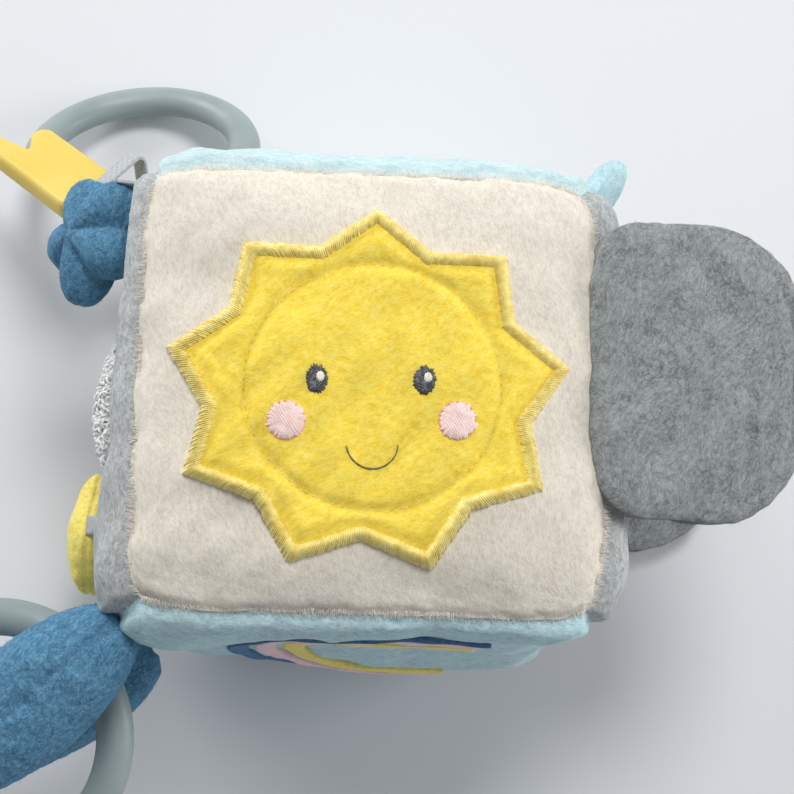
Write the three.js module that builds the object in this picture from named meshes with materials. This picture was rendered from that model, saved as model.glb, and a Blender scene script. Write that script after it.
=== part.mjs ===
// A soft activity block for a baby: a stuffed plush cube with a sun, a rainbow and a cloud sewn on,
// two plush ears along one side, a stuffed tab, and rings and small charms that hang from its seams.
// Millimetres, +Z up. The origin is on the floor under the middle of the block, the sun face is on
// top, the rainbow faces the front (-Y), the ears are on the right (+X) and the cloud on the left (-X).
import * as THREE from "three";
import { mergeVertices } from "three/addons/utils/BufferGeometryUtils.js";

// The stuffed block
const blockHalf = 61; // from the middle of the block to the crown of a face
const blockPower = 5.5; // power of the rounded cube's formula, higher is squarer
const creaseDepth = 1.6; // how far the sewn seams are drawn in
const creaseWidth = 3.2;
const sunSeamShare = 0.88; // how near to the sun the seams round it lie, where 1 is the block's edge
const topTwist = THREE.MathUtils.degToRad(3); // the block's upper half is wrung a little
const baseFlatDepth = 0.5; // how deep the crown that it stands on is pressed flat
const panelFabric = 2.2; // plush with its pile
const seamGap = 0.34; // between two neighbouring pieces along a seam
const layerGap = 0.35; // between two layers that lie on each other
const stuffingGap = 1; // between the panels and the coarser body of stuffing

// The sun on the top face
const sunTipRadius = 45.3;
const sunValleyRadius = 36.6;
const sunTips = 9;
const sunTurn = THREE.MathUtils.degToRad(8.5); // one tip's turn from +X
const sunWidthShare = 1.03;
const sunDepthShare = 0.935;
const sunForward = 1.2; // of the sun's middle to the front of the face's middle
const sunFabric = 1.6;
const sunBorderWidth = 3.6; // satin stitched edge
const sunBorderHeight = 2.1;
const faceShift = 0.7; // of the sun's face to the right of the block's middle
const eyeSpacing = 24.6;
const eyeBack = 0.6;
const eyeWidth = 5.3;
const eyeLength = 6.5;
const glintSize = 1.9;
const glintShift = 0.9;
const cheekSpacing = 39.6;
const cheekForward = 8.6;
const cheekSize = 9.2;
const stitchHeight = 0.6; // how far embroidery stands off the fabric
const smileRadius = 6.4;
const smileForward = 12.6; // of the centre of the smile's arc
const smileReach = THREE.MathUtils.degToRad(70); // of the arc to either side of its lowest point
const smileWidth = 0.9;

// The rainbow on the front face, lying on its side with its feet to the right
const rainbowOuterRadius = 34;
const rainbowBandWidth = 5;
const rainbowBandGap = 2;
const rainbowFabric = 0.9;
const rainbowCentreX = 6; // of the round part
const rainbowCentreRise = 14; // over the middle of the face
const rainbowLegLength = 22;
const rainbowLegShare = 0.22; // of the stations along a band

// The cloud on the left face
const cloudHalfWidth = 17.5;
const cloudHalfHeight = 12.5;
const cloudPuffs = 5;
const cloudPuffShare = 0.12;
const cloudCorner = 2.4;
const cloudRise = 8.6;
const cloudY = -1.5;
const cloudZ = 68;

// Sewn plush pieces
const coverFabric = 1.5;
const rimHalf = 0.2; // half the height of a filling's rim
const plumpPower = 0.5; // how a stuffed piece thins towards its seam, where a lower power is plumper
const starPower = 0.6;
const cloudPower = 0.55;
const earPower = 0.95;
const softCorner = 2.5; // powers of the outlines, where 2 is an ellipse and a higher power is squarer
const earSewnCorner = 4.5;

// The ears on the right face
const earLength = 53;
const earHalfWidth = 35.4;
const earHalfThickness = 4.6;
const upperEarY = 6.5; // middle of the ear along the seam
const lowerEarY = 13.5;
const upperEarDroop = THREE.MathUtils.degToRad(12);
const lowerEarDroop = THREE.MathUtils.degToRad(3);
const earSeat = 2.2; // from the drawn-in seam out to the ear's edge
const earLift = 1; // of the upper ear above the seam

// The stuffed tab on the back right edge
const tabReach = 19;
const tabHalfHeight = 12;
const tabHalfThickness = 4.6;
const tabZ = 78;
const tabHeading = THREE.MathUtils.degToRad(60);

// The two teething rings and the loops that hold them
const ringRadius = 29.5; // to the middle of the tube
const ringHalfWidth = 4.6; // of the tube, in the ring's plane
const ringHalfHeight = 4.1; // of the tube, across the ring's plane
const loopWidth = 9;
const loopThickness = 0.8;
const loopClearance = 0.6; // between a loop and the tube in it
const loopSewnHalf = 0.9; // half the thickness of a loop's sewn end
const backLoopSeat = 2.3; // from the seam to the sewn end
const frontLoopSeat = 0.9;
const backLoopZ = 43;
const backLoopReach = 8.5; // from the seam to the middle of the tube
const backLoopHeading = THREE.MathUtils.degToRad(111.5); // from +X
const backRingTilt = THREE.MathUtils.degToRad(41.3); // from level
const backRingHeading = THREE.MathUtils.degToRad(100); // where its upper face looks
const frontLoopZ = 76;
const frontLoopReach = 15.8;
const frontLoopHeading = THREE.MathUtils.degToRad(226.4);
const frontRingTilt = THREE.MathUtils.degToRad(8);

// The bolt of lightning, a teether that lies on the back ring
const boltHalfLength = 30;
const boltHalfWidth = 9.4;
const boltNotchShare = 0.39; // of the half length, from the middle to each notch
const boltEarShare = 0.66; // of the half length, from the middle to the end of each wide part
const boltTipRound = 2.8;
const boltEarRound = 3.6;
const boltNotchOffset = 1.6; // of a notch from the long middle line
const boltThickness = 6.5;
const boltBevel = 1.6;
const boltLevelShare = -0.76; // place of its middle, as shares of the ring's radius
const boltSlopeShare = -0.71;
const boltLift = 8; // of its middle above the ring's plane
const boltTurn = THREE.MathUtils.degToRad(123.4);
const tieAngle = THREE.MathUtils.degToRad(-100); // place of the tie round the ring
// Turn of the tie's width, halfway between the ring's tube and the bolt
const tieTurn = THREE.MathUtils.degToRad(-33);
const tieWidth = 4;
const tieCornerShare = 0.2; // of the tie's height

// The plush star on the back ring
const starTipRadius = 17.5;
const starValleyRadius = 12.6;
const starLobes = 5;
const starLobeCorner = 1.3;
const starHalfThickness = 6.2;
const starLean = THREE.MathUtils.degToRad(52);
const starTurn = THREE.MathUtils.degToRad(44);
const starOut = 12; // of its middle from the left face
const starIn = 21.4; // of its middle from the back face
const starRise = 17.5; // over the middle of the block
const starRibbonWidth = 5;

// The soft charm on the front ring: two stuffed lobes with the ring between them
const lobeLength = 62;
const lobeHalfWidth = 13.6;
const lobeHalfThickness = 12.6;
const lobeCorner = 2.5;
const lobePower = 0.4;
const upperLobeNearRadius = 47.2; // of its near end from the ring's middle
const lowerLobeNearRadius = 41.8;
const lobeRise = 18.4; // of a lobe's middle from the ring's plane
const upperLobeTurn = THREE.MathUtils.degToRad(-2.4); // from the loop, round the ring
const lowerLobeTurn = THREE.MathUtils.degToRad(-12.4);
const lobeJoinWidth = 5.6;

// The moon and the drop that hang beside the cloud
const moonRadius = 17;
const moonHalfThickness = 6.4;
const moonHollowShare = 0.34;
const moonHollowAt = THREE.MathUtils.degToRad(140); // from the direction to the front
const moonHollowSpread = THREE.MathUtils.degToRad(40);
const moonIn = 30; // of its middle from the front face
const moonY = moonIn - blockHalf;
const moonZ = 41;
const moonRibbonTopZ = 65;
const dropHalfWidth = 5.6;
const dropHalfHeight = 7.4;
const dropHalfThickness = 3.4;
const dropPointShare = 0.14; // of its half height that the point adds
const dropPointSpread = THREE.MathUtils.degToRad(29);
const dropIn = 14; // of its middle from the front face
const dropY = dropIn - blockHalf;
const dropZ = 17.5;
const dropRibbonTopZ = 33;
const dropStandOff = 1; // from the face, which swells towards its middle
const ribbonWidth = 5;
const ribbonThickness = 0.8;

const cream = new THREE.MeshStandardMaterial({ color: 0xe8e1d6, roughness: 0.95, metalness: 0 });
const grey = new THREE.MeshStandardMaterial({ color: 0xa9aeb2, roughness: 0.95, metalness: 0 });
const paleBlue = new THREE.MeshStandardMaterial({ color: 0xb9dde0, roughness: 0.95, metalness: 0 });
const sunYellow = new THREE.MeshStandardMaterial({ color: 0xf2d032, roughness: 0.95, metalness: 0 });
const threadYellow = new THREE.MeshStandardMaterial({ color: 0xf3df78, roughness: 0.6, metalness: 0 });
const threadCharcoal = new THREE.MeshStandardMaterial({ color: 0x3a3d42, roughness: 0.7, metalness: 0 });
const threadWhite = new THREE.MeshStandardMaterial({ color: 0xf4f1ea, roughness: 0.7, metalness: 0 });
const threadPink = new THREE.MeshStandardMaterial({ color: 0xf3b9c0, roughness: 0.7, metalness: 0 });
const threadBlue = new THREE.MeshStandardMaterial({ color: 0x55769b, roughness: 0.7, metalness: 0 });
const white = new THREE.MeshStandardMaterial({ color: 0xf5f4f1, roughness: 1, metalness: 0 });
const blue = new THREE.MeshStandardMaterial({ color: 0x4f86b0, roughness: 0.95, metalness: 0 });
const filling = new THREE.MeshStandardMaterial({ color: 0xf7f7f7, roughness: 1, metalness: 0 });
const ringPlastic = new THREE.MeshStandardMaterial({ color: 0xa3b2b0, roughness: 0.35, metalness: 0 });
const boltRubber = new THREE.MeshStandardMaterial({ color: 0xf3cf1f, roughness: 0.5, metalness: 0 });
const webbing = new THREE.MeshStandardMaterial({ color: 0xd7dbdb, roughness: 0.9, metalness: 0 });

const up = new THREE.Vector3(0, 0, 1);
const blockMiddle = new THREE.Vector3(0, 0, blockHalf - baseFlatDepth);
const seamGapShare = seamGap / (Math.SQRT2 * blockHalf);

function heading(angle) {
  return new THREE.Vector3(Math.cos(angle), Math.sin(angle), 0);
}

function mesh(name, geometry, material) {
  const made = new THREE.Mesh(geometry, material);
  made.name = name;
  return made;
}

// A group at a place, with its own x and z directions
function placed(origin, xAxis, zAxis, ...children) {
  const group = new THREE.Group();
  const yAxis = new THREE.Vector3().crossVectors(zAxis, xAxis);
  group.setRotationFromMatrix(new THREE.Matrix4().makeBasis(xAxis, yAxis, zAxis));
  group.position.copy(origin);
  group.add(...children);
  return group;
}

function solidFrom(points, triangles) {
  const geometry = new THREE.BufferGeometry();
  const numbers = points.flatMap((point) => point.toArray());
  geometry.setAttribute("position", new THREE.Float32BufferAttribute(numbers, 3));
  geometry.setIndex(triangles.flat());
  geometry.computeVertexNormals();
  return geometry;
}

// A closed solid between two surfaces over one square grid. Each surface takes two shares from 0 to 1.
function sheetSolid(cells, outer, inner) {
  const points = [];
  const triangles = [];
  const side = cells + 1;
  const quad = (a, b, c, d) => triangles.push([a, b, c], [a, c, d]);
  const at = (layer, i, j) => (layer * side + j) * side + i;
  for (const surface of [outer, inner])
    for (let j = 0; j < side; j++)
      for (let i = 0; i < side; i++) points.push(surface(i / cells, j / cells));
  for (let i = 0; i < cells; i++)
    for (let j = 0; j < cells; j++) {
      quad(at(0, i, j), at(0, i + 1, j), at(0, i + 1, j + 1), at(0, i, j + 1));
      quad(at(1, i, j), at(1, i, j + 1), at(1, i + 1, j + 1), at(1, i + 1, j));
    }
  for (let i = 0; i < cells; i++) {
    quad(at(1, i, 0), at(1, i + 1, 0), at(0, i + 1, 0), at(0, i, 0));
    quad(at(0, i, cells), at(0, i + 1, cells), at(1, i + 1, cells), at(1, i, cells));
    quad(at(0, 0, i), at(0, 0, i + 1), at(1, 0, i + 1), at(1, 0, i));
    quad(at(1, cells, i), at(1, cells, i + 1), at(0, cells, i + 1), at(0, cells, i));
  }
  return solidFrom(points, triangles);
}

// A closed solid between two round surfaces with one outline. Each surface takes an angle and a share
// of the way from the middle to the outline, and has rings of points at its own shares.
function discSolid(around, outer, outerShares, inner, innerShares) {
  const points = [];
  const triangles = [];
  const turn = (i) => (2 * Math.PI * i) / around;
  const rims = [];
  [
    [outer, outerShares, true],
    [inner, innerShares, false],
  ].forEach(([surface, shares, facesUp]) => {
    const middle = points.length;
    const add = (a, b, c) => triangles.push(facesUp ? [a, b, c] : [a, c, b]);
    points.push(surface(0, 0));
    for (const share of shares) for (let i = 0; i < around; i++) points.push(surface(turn(i), share));
    for (let i = 0; i < around; i++) {
      const next = (i + 1) % around;
      add(middle, middle + 1 + i, middle + 1 + next);
      for (let ring = 1; ring < shares.length; ring++) {
        const low = middle + 1 + (ring - 1) * around;
        const high = low + around;
        add(low + i, high + i, high + next);
        add(low + i, high + next, low + next);
      }
    }
    rims.push(points.length - around);
  });
  const [outerRim, innerRim] = rims;
  for (let i = 0; i < around; i++) {
    const next = (i + 1) % around;
    triangles.push([outerRim + i, innerRim + i, innerRim + next]);
    triangles.push([outerRim + i, innerRim + next, outerRim + next]);
  }
  return solidFrom(points, triangles);
}

// A closed solid whose section, a list of points, is carried from share 0 to share 1, round a hoop or
// between two ends
function sweptSolid(stations, section, isHoop) {
  const points = [];
  const triangles = [];
  const sides = section(0).length;
  const count = isHoop ? stations : stations + 1;
  for (let s = 0; s < count; s++) points.push(...section(s / stations));
  for (let s = 0; s < stations; s++) {
    const here = s * sides;
    const there = ((s + 1) % count) * sides;
    for (let k = 0; k < sides; k++) {
      const next = (k + 1) % sides;
      triangles.push([here + k, here + next, there + next], [here + k, there + next, there + k]);
    }
  }
  if (!isHoop)
    for (let k = 1; k < sides - 1; k++) {
      const last = stations * sides;
      triangles.push([0, k + 1, k], [last, last + k, last + k + 1]);
    }
  return solidFrom(points, triangles);
}

// The block's rounded, creased and slightly wrung surface
// Places on it are first worked out from the middle of the block.
function wrung(point) {
  return point.applyAxisAngle(up, (topTwist * Math.max(0, point.z)) / blockHalf);
}

// How far the surface lies from the middle in a direction, in lengths of that direction
function shellReach(direction) {
  const sides = direction.toArray().map((side) => Math.abs(side) ** blockPower);
  return blockHalf / (sides[0] + sides[1] + sides[2]) ** (1 / blockPower);
}

// A point of the skin in a direction from the middle, depth under the plush and drawn in along the seams
function skinPoint(direction, depth) {
  const reach = shellReach(direction);
  const upShare = direction.z > 0 ? direction.z * sunSeamShare : -direction.z;
  const shares = [Math.abs(direction.x), Math.abs(direction.y), upShare].sort((a, b) => b - a);
  const seamDistance = (shares[0] - shares[1]) * reach;
  const drawnIn = creaseDepth * Math.exp(-((seamDistance / creaseWidth) ** 2));
  return direction.clone().multiplyScalar(reach * (1 - (depth + drawnIn) / blockHalf));
}

// The height of a face's crown over the middle of the block, at a place on the face
function crown(x, y) {
  const left = 1 - Math.abs(x / blockHalf) ** blockPower - Math.abs(y / blockHalf) ** blockPower;
  return blockHalf * left ** (1 / blockPower);
}

// A point of a vertical edge at a height over the floor, in the crease
function edgePoint(signX, signY, z) {
  const rise = Math.abs(z - blockMiddle.z) / blockHalf;
  const across = ((1 - rise ** blockPower) / 2) ** (1 / blockPower);
  const drawnIn = creaseDepth / Math.SQRT2;
  const out = blockHalf * across - drawnIn;
  return wrung(new THREE.Vector3(signX * out, signY * out, z - blockMiddle.z)).add(blockMiddle);
}

// Each face has its own x to the right, y up the face and z out of the block
const faceAxes = {
  sun: [new THREE.Vector3(1, 0, 0), new THREE.Vector3(0, 1, 0), new THREE.Vector3(0, 0, 1)],
  bottom: [new THREE.Vector3(1, 0, 0), new THREE.Vector3(0, -1, 0), new THREE.Vector3(0, 0, -1)],
  front: [new THREE.Vector3(1, 0, 0), new THREE.Vector3(0, 0, 1), new THREE.Vector3(0, -1, 0)],
  back: [new THREE.Vector3(-1, 0, 0), new THREE.Vector3(0, 0, 1), new THREE.Vector3(0, 1, 0)],
  left: [new THREE.Vector3(0, -1, 0), new THREE.Vector3(0, 0, 1), new THREE.Vector3(-1, 0, 0)],
  right: [new THREE.Vector3(0, 1, 0), new THREE.Vector3(0, 0, 1), new THREE.Vector3(1, 0, 0)],
};

function faceVector(face, x, y, z) {
  const [xAxis, yAxis, zAxis] = faceAxes[face];
  return new THREE.Vector3().addScaledVector(xAxis, x).addScaledVector(yAxis, y).addScaledVector(zAxis, z);
}

// A point over a face's crown
function facePoint(face, x, y, lift) {
  return wrung(faceVector(face, x, y, crown(x, y) + lift)).add(blockMiddle);
}

function onFace(face, ...children) {
  return placed(blockMiddle, faceAxes[face][0], faceAxes[face][2], ...children);
}

// How far a face's skin reaches from its middle: to the sides, down and up, as shares of the way to the edge
function faceReach(face) {
  if (face === "sun") return [sunSeamShare, sunSeamShare, sunSeamShare];
  if (face === "bottom") return [1, 1, 1];
  return [1, 1, 1 / sunSeamShare];
}

// The skin of one face, given two shares from 0 to 1 across and up the face
function faceSkin(face, depth, seamShare) {
  const [side, down, high] = faceReach(face).map((reach) => reach * (1 - seamShare));
  const spread = (share) => Math.sin((share - 0.5) * Math.PI);
  return (i, j) => {
    const along = (high - down) / 2 + ((high + down) / 2) * spread(j);
    const point = skinPoint(faceVector(face, side * spread(i), along, 1), depth);
    if (face === "bottom") point.z = Math.max(point.z, baseFlatDepth + depth - blockHalf);
    return wrung(point).add(blockMiddle);
  };
}

function panel(face) {
  return sheetSolid(10, faceSkin(face, 0, seamGapShare), faceSkin(face, panelFabric, seamGapShare));
}

function stuffingCore() {
  const cells = 6;
  const numbers = [];
  for (const face of Object.keys(faceAxes)) {
    const skin = faceSkin(face, panelFabric + stuffingGap, 0);
    const at = (i, j) => skin(i / cells, j / cells);
    for (let i = 0; i < cells; i++)
      for (let j = 0; j < cells; j++) {
        const corners = [at(i, j), at(i + 1, j), at(i + 1, j + 1), at(i, j + 1)];
        for (const k of [0, 1, 2, 0, 2, 3]) numbers.push(...corners[k].toArray());
      }
  }
  const geometry = new THREE.BufferGeometry();
  geometry.setAttribute("position", new THREE.Float32BufferAttribute(numbers, 3));
  const core = mergeVertices(geometry, seamGap / cells);
  core.computeVertexNormals();
  return core;
}

// The sun
// The outline's radius at an angle, drawn in by an inset all round
function sunRadius(angle, inset) {
  const half = Math.PI / sunTips;
  const step = Math.abs(((((angle - sunTurn) % (2 * half)) + 3 * half) % (2 * half)) - half);
  const tipAngle = Math.atan2(
    sunValleyRadius * Math.sin(half),
    sunTipRadius - sunValleyRadius * Math.cos(half),
  );
  const tip = sunTipRadius - inset / Math.sin(tipAngle);
  const valley = sunValleyRadius - inset / Math.sin(tipAngle + half);
  return (tip * valley * Math.sin(half)) / (tip * Math.sin(step) + valley * Math.sin(half - step));
}

function sunPoint(angle, inset, share, lift) {
  const radius = share * sunRadius(angle, inset);
  const x = radius * Math.cos(angle) * sunWidthShare;
  const y = radius * Math.sin(angle) * sunDepthShare - sunForward;
  return facePoint("sun", x, y, lift);
}

const sunStations = 6 * sunTips;

function sunSheet() {
  const shares = [0.4, 0.66, 0.85, 1];
  const inset = sunBorderWidth + layerGap;
  const surface = (lift) => (angle, share) => sunPoint(angle + sunTurn, inset, share, lift);
  return discSolid(sunStations, surface(layerGap + sunFabric), shares, surface(layerGap), shares);
}

function sunBorder() {
  const section = (share) => {
    const angle = sunTurn + 2 * Math.PI * share;
    const corner = (inset, lift) => sunPoint(angle, inset, 1, layerGap + lift);
    return [
      corner(0, 0),
      corner(0, sunBorderHeight / 2),
      corner(sunBorderWidth / 3, sunBorderHeight),
      corner((2 * sunBorderWidth) / 3, sunBorderHeight),
      corner(sunBorderWidth, sunBorderHeight / 2),
      corner(sunBorderWidth, 0),
    ].reverse();
  };
  return sweptSolid(sunStations, section, true);
}

const sunTop = blockHalf + layerGap + sunFabric + layerGap;

// An embroidered round patch on the sun or on another patch
function patch(width, length, x, y, layer) {
  const geometry = new THREE.CylinderGeometry(width / 2, width / 2, stitchHeight, 20);
  geometry.rotateX(Math.PI / 2);
  geometry.scale(1, length / width, 1);
  geometry.translate(faceShift + x, y, sunTop + layer * (stitchHeight + layerGap) + stitchHeight / 2);
  return geometry;
}

function smile() {
  const section = (share) => {
    const angle = -Math.PI / 2 + (2 * share - 1) * smileReach;
    const corner = (radius, lift) =>
      new THREE.Vector3(
        faceShift + radius * Math.cos(angle),
        -smileForward + radius * Math.sin(angle),
        sunTop + lift,
      );
    const outside = smileRadius + smileWidth / 2;
    const inside = smileRadius - smileWidth / 2;
    return [
      corner(outside, 0),
      corner(inside, 0),
      corner(inside, stitchHeight),
      corner(outside, stitchHeight),
    ];
  };
  return sweptSolid(14, section, false);
}

// The rainbow
// A band goes from one foot along its leg, round the arch and back along the other leg
function rainbowBand(index) {
  const outside = rainbowOuterRadius - index * (rainbowBandWidth + rainbowBandGap);
  const place = (share, radius) => {
    const side = share < 0.5 ? 1 : -1;
    const legPart = Math.max(0, 1 - (share < 0.5 ? share : 1 - share) / rainbowLegShare);
    if (legPart > 0) return [rainbowCentreX + legPart * rainbowLegLength, side * radius];
    const angle = Math.PI / 2 + (Math.PI * (share - rainbowLegShare)) / (1 - 2 * rainbowLegShare);
    return [rainbowCentreX + radius * Math.cos(angle), radius * Math.sin(angle)];
  };
  const section = (share) => {
    const corner = (radius, lift) => {
      const [x, y] = place(share, radius);
      return facePoint("front", x, y + rainbowCentreRise, layerGap + lift);
    };
    const inside = outside - rainbowBandWidth;
    return [
      corner(outside, 0),
      corner(inside, 0),
      corner(inside, rainbowFabric),
      corner(outside, rainbowFabric),
    ];
  };
  return sweptSolid(28, section, false);
}

// Sewn plush pieces: two covers that meet at a seam round the outline, and the filling between them
const coverShares = [0.45, 0.78, 0.94, 1];
const liningShares = [0.62, 1];

function risen(share, fullness) {
  return (1 - share * share) ** fullness;
}

// One cover. The outline gives the radius at an angle, and side is 1 for the upper cover and -1 for the
// lower one.
function cover(around, outline, height, side, fullness, shares = coverShares) {
  const surface = (inset) => (angle, share) => {
    const turned = side * angle;
    const radius = share * (outline(turned) - inset);
    const z = side * (seamGap / 2 + (height - inset) * risen(share, fullness));
    return new THREE.Vector3(radius * Math.cos(turned), radius * Math.sin(turned), z);
  };
  return discSolid(around, surface(0), shares, surface(coverFabric), liningShares);
}

function wadding(around, outline, height, fullness) {
  const inset = coverFabric + layerGap;
  const surface = (side) => (angle, share) => {
    const radius = share * (outline(angle) - inset);
    const z = side * (rimHalf + (height - inset) * risen(share, fullness));
    return new THREE.Vector3(radius * Math.cos(angle), radius * Math.sin(angle), z);
  };
  return discSolid(around, surface(1), liningShares, surface(-1), liningShares);
}

function superellipse(halfX, halfY, power) {
  return (angle) =>
    (Math.abs(Math.cos(angle) / halfX) ** power + Math.abs(Math.sin(angle) / halfY) ** power) ** (-1 / power);
}

// The plush star's outline, with rounded lobes
function starOutline(angle) {
  const wave = Math.abs(Math.cos((starLobes * (angle - starTurn)) / 2));
  return starValleyRadius + (starTipRadius - starValleyRadius) * wave ** starLobeCorner;
}

// The cloud: one cover of looped pile over wadding, sewn flat on the left face
function cloudOutline(angle) {
  const base = superellipse(cloudHalfWidth, cloudHalfHeight, cloudCorner)(angle);
  return base * (1 - cloudPuffShare + cloudPuffShare * Math.abs(Math.sin((cloudPuffs * angle) / 2)));
}

function cloudSurface(inset, height) {
  return (angle, share) => {
    const radius = share * (cloudOutline(angle) - inset);
    const x = radius * Math.cos(angle) - cloudY;
    const y = radius * Math.sin(angle) + cloudZ - blockMiddle.z;
    return facePoint("left", x, y, layerGap + height * risen(share, cloudPower));
  };
}

function cloudCover() {
  const around = 30;
  return discSolid(
    around,
    cloudSurface(0, cloudRise),
    coverShares,
    cloudSurface(coverFabric, cloudRise - coverFabric),
    liningShares,
  );
}

function cloudWadding() {
  const around = 30;
  const inset = coverFabric + layerGap;
  const raised = (angle, share) =>
    cloudSurface(inset, cloudRise - inset)(angle, share).addScaledVector(faceAxes.left[2], rimHalf);
  return discSolid(around, raised, liningShares, cloudSurface(inset, 0), liningShares);
}

// The ears: rounded flaps with a straighter sewn edge towards the block. Their own x points away from
// the block.
function earOutline(angle) {
  const sewnSide = Math.cos(angle) < 0;
  return superellipse(earLength / 2, earHalfWidth, sewnSide ? earSewnCorner : softCorner)(angle);
}

function ear(name, seamDirection, y, lift, droop, turn) {
  const root = skinPoint(seamDirection, 0).add(blockMiddle).setY(y);
  const out = new THREE.Vector3(Math.cos(droop), 0, -Math.sin(droop));
  const normal = new THREE.Vector3(Math.sin(droop), 0, Math.cos(droop));
  const middle = root.addScaledVector(out, earSeat + earLength / 2).addScaledVector(up, lift);
  const around = 24;
  for (const vector of [middle, out, normal]) vector.applyAxisAngle(up, turn);
  return placed(
    middle,
    out,
    normal,
    mesh(name + "_upper_cover", cover(around, earOutline, earHalfThickness, 1, earPower), grey),
    mesh(name + "_under_cover", cover(around, earOutline, earHalfThickness, -1, earPower), grey),
    mesh(name + "_wadding", wadding(around, earOutline, earHalfThickness, earPower), filling),
  );
}

// The tab: a small stuffed nub sewn in the back right edge, standing on edge
function tab() {
  const outward = heading(tabHeading);
  const sideways = heading(tabHeading - Math.PI / 2);
  const middle = edgePoint(1, 1, tabZ).addScaledVector(outward, tabReach / 2 + layerGap);
  const outline = superellipse(tabReach / 2, tabHalfHeight, softCorner);
  const around = 18;
  const shares = [0.5, 0.85, 1];
  return placed(
    middle,
    outward,
    sideways,
    mesh("tab_right_cover", cover(around, outline, tabHalfThickness, 1, plumpPower, shares), paleBlue),
    mesh("tab_left_cover", cover(around, outline, tabHalfThickness, -1, plumpPower, shares), paleBlue),
    mesh("tab_wadding", wadding(around, outline, tabHalfThickness, plumpPower), filling),
  );
}

// The rings
function ringSolid() {
  const profile = [];
  const sides = 12;
  for (let i = 0; i <= sides; i++) {
    const angle = (-2 * Math.PI * (i % sides)) / sides;
    profile.push(
      new THREE.Vector2(ringRadius + ringHalfWidth * Math.cos(angle), ringHalfHeight * Math.sin(angle)),
    );
  }
  return new THREE.LatheGeometry(profile.reverse(), 48).rotateX(Math.PI / 2);
}

// A teardrop band of webbing, sewn at the origin, round a tube whose middle lies reach away along +X.
// Its width is along Z.
function loopBand(seat, reach) {
  const sewnX = seat + loopSewnHalf;
  const tube = Math.max(ringHalfWidth, ringHalfHeight) + loopClearance;
  const teardrop = (path, inset) => {
    const round = tube + loopThickness - inset;
    const small = loopSewnHalf - inset;
    const opening = Math.acos((round - small) / (reach - sewnX));
    path.absarc(reach, 0, round, opening - Math.PI, Math.PI - opening, false);
    path.absarc(sewnX, 0, small, Math.PI - opening, Math.PI + opening, false);
    return path;
  };
  const shape = teardrop(new THREE.Shape(), 0);
  shape.holes.push(teardrop(new THREE.Path(), loopThickness));
  const band = new THREE.ExtrudeGeometry(shape, { depth: loopWidth, bevelEnabled: false, curveSegments: 9 });
  return band.translate(0, 0, -loopWidth / 2);
}

// The frame of a ring: x level, y down its slope and z out of its upper face
function ringAxes(tilt, towards) {
  const normal = heading(towards)
    .multiplyScalar(Math.sin(tilt))
    .addScaledVector(up, Math.cos(tilt));
  const level = heading(towards - Math.PI / 2);
  return { level, normal, slope: new THREE.Vector3().crossVectors(normal, level) };
}

// A direction in a ring's plane, and the direction of the tube there
function ringDirection(axes, angle) {
  return axes.level
    .clone()
    .multiplyScalar(Math.cos(angle))
    .addScaledVector(axes.slope, Math.sin(angle));
}

const backSeam = edgePoint(-1, 1, backLoopZ);
const backLoopPoint = backSeam.clone().addScaledVector(heading(backLoopHeading), backLoopReach);
const backAxes = ringAxes(backRingTilt, backRingHeading);
// The ring's own angle at which its tube runs square to the loop
const backLoopAngle = Math.atan2(
  -heading(backLoopHeading).dot(backAxes.slope),
  -heading(backLoopHeading).dot(backAxes.level),
);
const backRingCentre = backLoopPoint
  .clone()
  .addScaledVector(ringDirection(backAxes, backLoopAngle), -ringRadius);

const frontSeam = edgePoint(-1, -1, frontLoopZ);
const frontLoopPoint = frontSeam.clone().addScaledVector(heading(frontLoopHeading), frontLoopReach);
const frontAxes = ringAxes(frontRingTilt, frontLoopHeading);
const frontRingCentre = frontLoopPoint.clone().addScaledVector(frontAxes.slope, ringRadius);

function ringLoop(name, seam, loopHeading, seat, reach, tangent) {
  return placed(seam, heading(loopHeading), tangent, mesh(name, loopBand(seat, reach), webbing));
}

// The bolt of lightning: two wedges side by side, each with its wide end beside the other's thin one
function boltShape() {
  const tipRound = boltTipRound - boltBevel;
  const earRound = boltEarRound - boltBevel;
  const side = boltHalfWidth - boltBevel;
  const tipX = boltHalfLength - boltTipRound;
  const earX = boltEarShare * boltHalfLength - boltEarRound;
  const notchX = boltNotchShare * boltHalfLength - boltBevel;
  const shape = new THREE.Shape();
  for (const turned of [1, -1]) {
    const from = turned > 0 ? 0 : Math.PI;
    const tipY = turned * (side - tipRound);
    const earY = turned * (side - earRound);
    shape.absarc(turned * tipX, tipY, tipRound, from - Math.PI / 2.4, from + Math.PI / 2, false);
    shape.absarc(-turned * earX, earY, earRound, from + Math.PI / 2, from + 1.25 * Math.PI, false);
    shape.lineTo(-turned * notchX, -turned * boltNotchOffset);
  }
  shape.closePath();
  return shape;
}

function bolt() {
  const flat = boltThickness - 2 * boltBevel;
  const geometry = new THREE.ExtrudeGeometry(boltShape(), {
    depth: flat,
    bevelThickness: boltBevel,
    bevelSize: boltBevel,
    bevelSegments: 3,
    curveSegments: 8,
  });
  return geometry.translate(0, 0, -flat / 2);
}

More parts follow.
